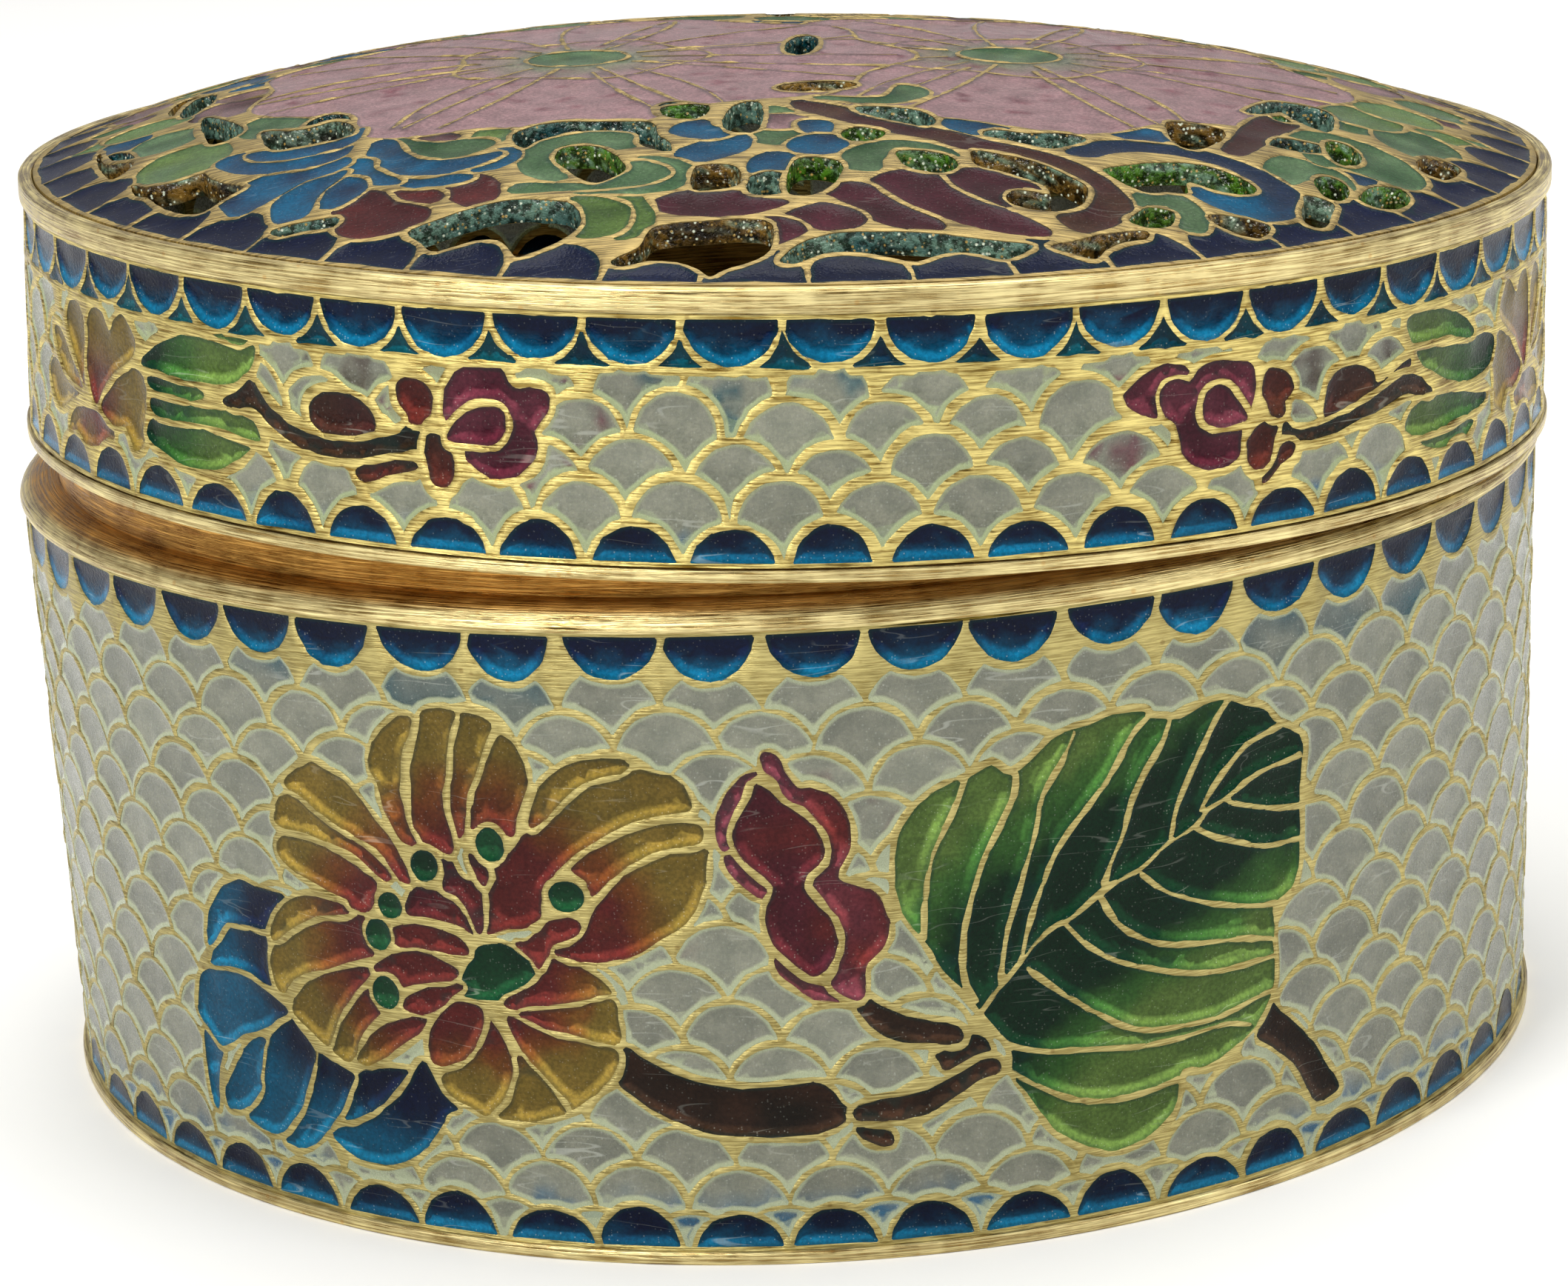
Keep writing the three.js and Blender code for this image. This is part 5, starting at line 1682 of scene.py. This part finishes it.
    def dome(self, finishes: Finishes, place: Matrix) -> None:
        """Draw and build the pierced dome."""
        chart = DiscChart(self.dome_radius, self.dome_height, self.dome_thickness, self.dome_rise, self.fullness,
                          place)
        drawing = Drawing(chart)
        walls = {"ice": Tint(Hue.ICE, Hue.TEAL), "honey": Tint(Hue.HONEY, Hue.SOOT), "lime": Tint(Hue.LIME, Hue.LEAF),
                 "gold": Tint(Hue.SOOT, Hue.HONEY), "teal": Tint(Hue.TEAL, Hue.ICE), "wine": Tint(Hue.WINE, Hue.ICE),
                 "grey": Tint(Hue.ICE, Hue.GREY)}
        drawing.named(OPENING_LINES, walls, Kind.OPEN, 0.26, 0.04)
        for opening in OPENINGS:
            drawing.outline(opening_line(opening), Kind.OPEN, opening_tint(opening), 0.3, 0.1)
        tints = {"stem": Tint(Hue.PLUM, Hue.BROWN), "fan": Tint(Hue.PLUM, Hue.WINE),
                 "hook": Tint(Hue.BLUE, Hue.SLATE, ((18.8, -23.4),), 0.5, 3.0), "curl": Tint(Hue.MOSS, Hue.GREENISH),
                 "drop": Tint(Hue.BLUE, Hue.SLATE), "bar": Tint(Hue.PLUM, Hue.BROWN),
                 "leaf": Tint(Hue.GREENISH, Hue.MOSS), "plume": Tint(Hue.SLATE, Hue.BLUE),
                 "cup": Tint(Hue.MOSS, Hue.GREENISH), "petal": Tint(Hue.PLUM, Hue.BURGUNDY),
                 "scroll": Tint(Hue.MOSS, Hue.GREENISH), "frond": Tint(Hue.LEAF_DARK, Hue.LEAF),
                 "almond": Tint(Hue.PLUM, Hue.WINE), "sprig": Tint(Hue.SLATE, Hue.BLUE)}
        navy = Tint(Hue.NAVY, Hue.SLATE, ((0.0, 0.0),), 33.0, 36.0)
        drawing.named(DOME_LINES, tints, Kind.COLOURED, 0.22, 0.22)
        for number in range(self.edge_count):
            angle = number / self.edge_count * TURN - math.pi / 2
            out = np.array([math.cos(angle), math.sin(angle)])
            drawing.scallop(out * 33.55, -out, 3.95, 2.6, navy, 0.24)
        for centre, reach in (((-9.2, -2.2), 14.3), ((10.2, -1.6), 14.6)):
            self.peony(drawing, np.array(centre), reach)
        mirrored = {name: line * (1, -1) for name, line in DOME_LINES.items()}
        drawing.named(mirrored, tints, Kind.COLOURED, 0.22, 0.22)
        self.fillers(drawing)
        drawing.finish(margin=0.16, ragged=0.035, seed=71)
        for made in Panel(drawing).build("lid_dome", finishes.dull_wire, {Kind.COLOURED: finishes.dome},
                                         finishes.fractured):
            settle(made, "lid_dome")

    def peony(self, drawing: Drawing, centre: Points, reach: float) -> None:
        """Lay one of the two large flowers of the dome.

        Args:
            drawing: Drawing that takes it.
            centre: Its middle.
            reach: How far its petals go.
        """
        steps, rays, heart = 120, 22, 5.6
        angle = np.arange(steps) * TURN / steps
        size = reach * (1 + 0.05 * np.cos(9 * angle) + 0.02 * np.cos(4 * angle + 1))
        outline = centre + np.stack([size * np.cos(angle), size * 1.05 * np.sin(angle)], 1)
        veins = []
        for number in range(rays):
            turn = number * TURN / rays + 0.08 * math.sin(number * 2.3)
            radii = np.linspace(3.0 + 1.4 * (number % 2), reach, 8)
            bend = turn + 0.16 * math.sin(number * 1.9) * (radii / reach) ** 2
            veins.append(centre + np.stack([radii * np.cos(bend), radii * np.sin(bend)], 1))
        drawing.disc(centre, 2.2, Kind.COLOURED, Tint(Hue.GREENISH, Hue.MOSS), 0.3)
        ring = centre + heart * np.stack([np.cos(angle), np.sin(angle)], 1) * (1 + 0.08 * np.cos(5 * angle))[:, None]
        mauve = Tint(Hue.GREENISH, Hue.MAUVE, (tuple(centre),), 0.5, 6.0, stain=Hue.CRIMSON, stained=0.1)
        drawing.outline(outline, Kind.COLOURED, mauve, 0.24, 0.0, (*veins, np.vstack([ring, ring[:1]])), 0.2)

    def fillers(self, drawing: Drawing) -> None:
        """Fill what is still bare metal with small leaves of enamel."""
        chance = np.random.default_rng(5)
        tints = (Tint(Hue.MOSS, Hue.GREENISH), Tint(Hue.SLATE, Hue.BLUE), Tint(Hue.PLUM, Hue.MAUVE),
                 Tint(Hue.GREENISH, Hue.LEAF))
        places = chance.uniform(-33, 33, (5000, 2))
        for least, size in ((0.95, 1.9), (0.6, 1.3), (0.42, 0.9)):
            for centre in places[np.hypot(*places.T) < 31.5]:
                if drawing.sample(centre[None])[0] < -least:
                    drawing.disc(centre, size * chance.uniform(0.85, 1.15), Kind.COLOURED,
                                 tints[int(chance.integers(4))], 0.22, float(chance.uniform(0.7, 1.6)))


FRONT_OPENINGS = (
    (-10.3, -27.9, 5.8, 3.0, -8, 0.3),
    (-7.2, -22.2, 4.4, 2.1, -72, 0.2),
    (-3.0, -30.1, 4.8, 2.2, 2, 0),
    (5.2, -30.2, 8.2, 1.6, 10, -0.3),
    (11.4, -23.4, 6.4, 1.9, -52, 1.1),
    (16.8, -21.1, 5.8, 2.7, -3, 0.8),
    (15.8, -25.7, 2.2, 1.4, 75, 0),
    (18.9, -25.4, 2.5, 1.2, 22, 0),
    (22.6, -22.3, 3.1, 1.4, 80, 0),
    (2.2, -24.0, 4.0, 1.6, 82, 0),
    (-1.8, -24.2, 3.0, 1.5, 95, 0),
    (6.1, -22.1, 2.6, 1.8, 100, 0.2),
    (-7.6, -17.6, 5.8, 1.1, -4, 0.9),
    (10.8, -18.4, 5.0, 1.2, -4, 0.2),
    (17.9, -15.7, 3.6, 1.6, 70, 0),
    (5.2, -16.1, 3.6, 1.8, -32, 0),
    (-25.0, -18.2, 4.4, 2.5, -42, 0),
    (-21.4, -13.5, 3.2, 1.3, 104, 0),
    (23.2, -14.6, 3.4, 2.0, 80, 0),
    (26.0, -18.2, 2.4, 1.2, 62, 0),
    (28.6, -12.6, 3.0, 1.1, 70, 0),
    (-0.8, -16.4, 4.2, 1.6, 86, 0),
)
MIDDLE_OPENINGS = (
    (-3.9, -15.2, 2.8, 1.7, 100, 0),
    (-19.1, -13.0, 4.6, 2.0, 96, 0),
    (-24.4, -9.3, 5.2, 1.4, 107, 0),
    (-28.6, -10.8, 4.4, 1.3, 106, 0),
    (-27.2, -0.4, 5.8, 1.5, 94, 0),
    (22.6, -9.1, 3.8, 1.6, 62, 0),
    (1.8, -10.8, 3.4, 2.0, 20, 0),
    (0.8, 1.0, 6.4, 1.3, 88, 0),
)
BACK_OPENINGS = tuple((x, -y, length, width, -heading, -bend)
                      for x, y, length, width, heading, bend in FRONT_OPENINGS)
OPENINGS = MIDDLE_OPENINGS + BACK_OPENINGS


def opening_line(opening: tuple[float, ...]) -> Points:
    """Outline of an opening of the dome: a lens with blunt ends, bowed along its length."""
    x, y, length, width, heading, bend = opening
    angle = np.arange(36) * TURN / 36
    along = length / 2 * np.cos(angle)
    across = width / 2 * np.sin(angle) + bend * np.sin(angle) ** 2
    turn = math.radians(heading)
    return np.stack([x + along * math.cos(turn) - across * math.sin(turn),
                     y + along * math.sin(turn) + across * math.cos(turn)], 1)


def opening_tint(opening: tuple[float, ...]) -> Tint:
    """Colour of an opening's sides."""
    pairs = ((Hue.ICE, Hue.TEAL), (Hue.HONEY, Hue.SOOT), (Hue.LIME, Hue.LEAF_DARK), (Hue.ICE, Hue.HONEY))
    near, far = pairs[int(abs(opening[0] * 7 + opening[1] * 3)) % 4]
    return Tint(near, far, ((opening[0], opening[1] - 3.0),), 1.0, 4.5)


@dataclass(frozen=True)
class Studio:
    """Floor, soft light and the photograph's camera."""

    lens: float = 100.64
    location: tuple[float, float, float] = (0.00914, -0.1987, 0.0712)
    down: float = 15.32
    roll: float = -2.70
    yaw: float = -2.69

    def build(self) -> None:
        """Set up the studio."""
        self.floor()
        self.light("key_softbox", (-0.3, -0.42, 0.5), size=0.24, power=2.8)
        self.light("fill_softbox", (0.5, -0.25, 0.3), size=0.3, power=0.9)
        self.light("top_softbox", (0.05, 0.15, 0.6), size=0.4, power=2.0)
        world = bpy.data.worlds.new("studio")
        world.use_nodes = True
        graph = Graph(world.node_tree)
        way = graph.add("SeparateXYZ", {0: graph.add("TexCoord").outputs["Generated"]}).outputs
        behind = graph.ramp(way["Y"], -0.1, 0.6, 0.2, 0.4)
        shade = graph.ramp(way["Z"], 0.25, 0.95)
        level = graph.math("MULTIPLY_ADD", shade, graph.math("SUBTRACT", 1.0, behind), behind)
        background = world.node_tree.nodes["Background"]
        background.inputs[0].default_value = (1.0, 0.985, 0.96, 1.0)
        world.node_tree.links.new(level, background.inputs[1])
        scene = bpy.context.scene
        scene.world = world
        scene.view_settings.view_transform = "Standard"
        self.camera()

    def floor(self) -> None:
        """Make the pale floor."""
        mesh = bpy.data.meshes.new("floor")
        half = 3.0
        mesh.from_pydata([(-half, -half, 0), (half, -half, 0), (half, half, 0), (-half, half, 0)], [], [(0, 1, 2, 3)])
        floor = bpy.data.objects.new("floor", mesh)
        bpy.context.scene.collection.objects.link(floor)
        made, _, _ = finish("floor_paper", {"Base Color": (0.86, 0.86, 0.85, 1.0), "Roughness": 0.8})
        mesh.materials.append(made)

    def light(self, name: str, location: tuple[float, float, float], size: float, power: float) -> None:
        """Add a soft light that faces the box."""
        data = bpy.data.lights.new(name, "AREA")
        data.shape, data.size, data.energy = "SQUARE", size, power
        lamp = bpy.data.objects.new(name, data)
        lamp.location = location
        lamp.rotation_euler = (Vector((0, 0, 0.02)) - Vector(location)).to_track_quat("-Z", "Y").to_euler()
        bpy.context.scene.collection.objects.link(lamp)

    def camera(self) -> None:
        """Place the camera as the photograph was taken."""
        data = bpy.data.cameras.new("camera")
        data.sensor_width, data.lens = 36.0, self.lens
        data.clip_start = 0.01
        down, yaw, roll = (math.radians(v) for v in (self.down, self.yaw, self.roll))
        forward = Vector((math.sin(yaw) * math.cos(down), math.cos(yaw) * math.cos(down), -math.sin(down)))
        right = Vector((math.cos(yaw), -math.sin(yaw), 0.0))
        up = right.cross(forward)
        tilted_right = math.cos(roll) * right + math.sin(roll) * up
        tilted_up = -math.sin(roll) * right + math.cos(roll) * up
        camera = bpy.data.objects.new("camera", data)
        turn = Matrix((tilted_right, tilted_up, -forward)).transposed().to_4x4()
        camera.matrix_world = Matrix.Translation(self.location) @ turn
        bpy.context.scene.collection.objects.link(camera)
        bpy.context.scene.camera = camera


def plain(corners: tuple[Vector, Vector]) -> list[list[float]]:
    """Two corners as plain lists."""
    return [[float(v) for v in corner] for corner in corners]


def main() -> None:
    """Build the box and the studio."""
    logging.basicConfig(level=logging.INFO, format="%(message)s")
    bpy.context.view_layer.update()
    finishes = Finishes()
    Body().build(finishes)
    Lid().build(finishes)
    Studio().build()


if __name__ == "__main__":
    main()
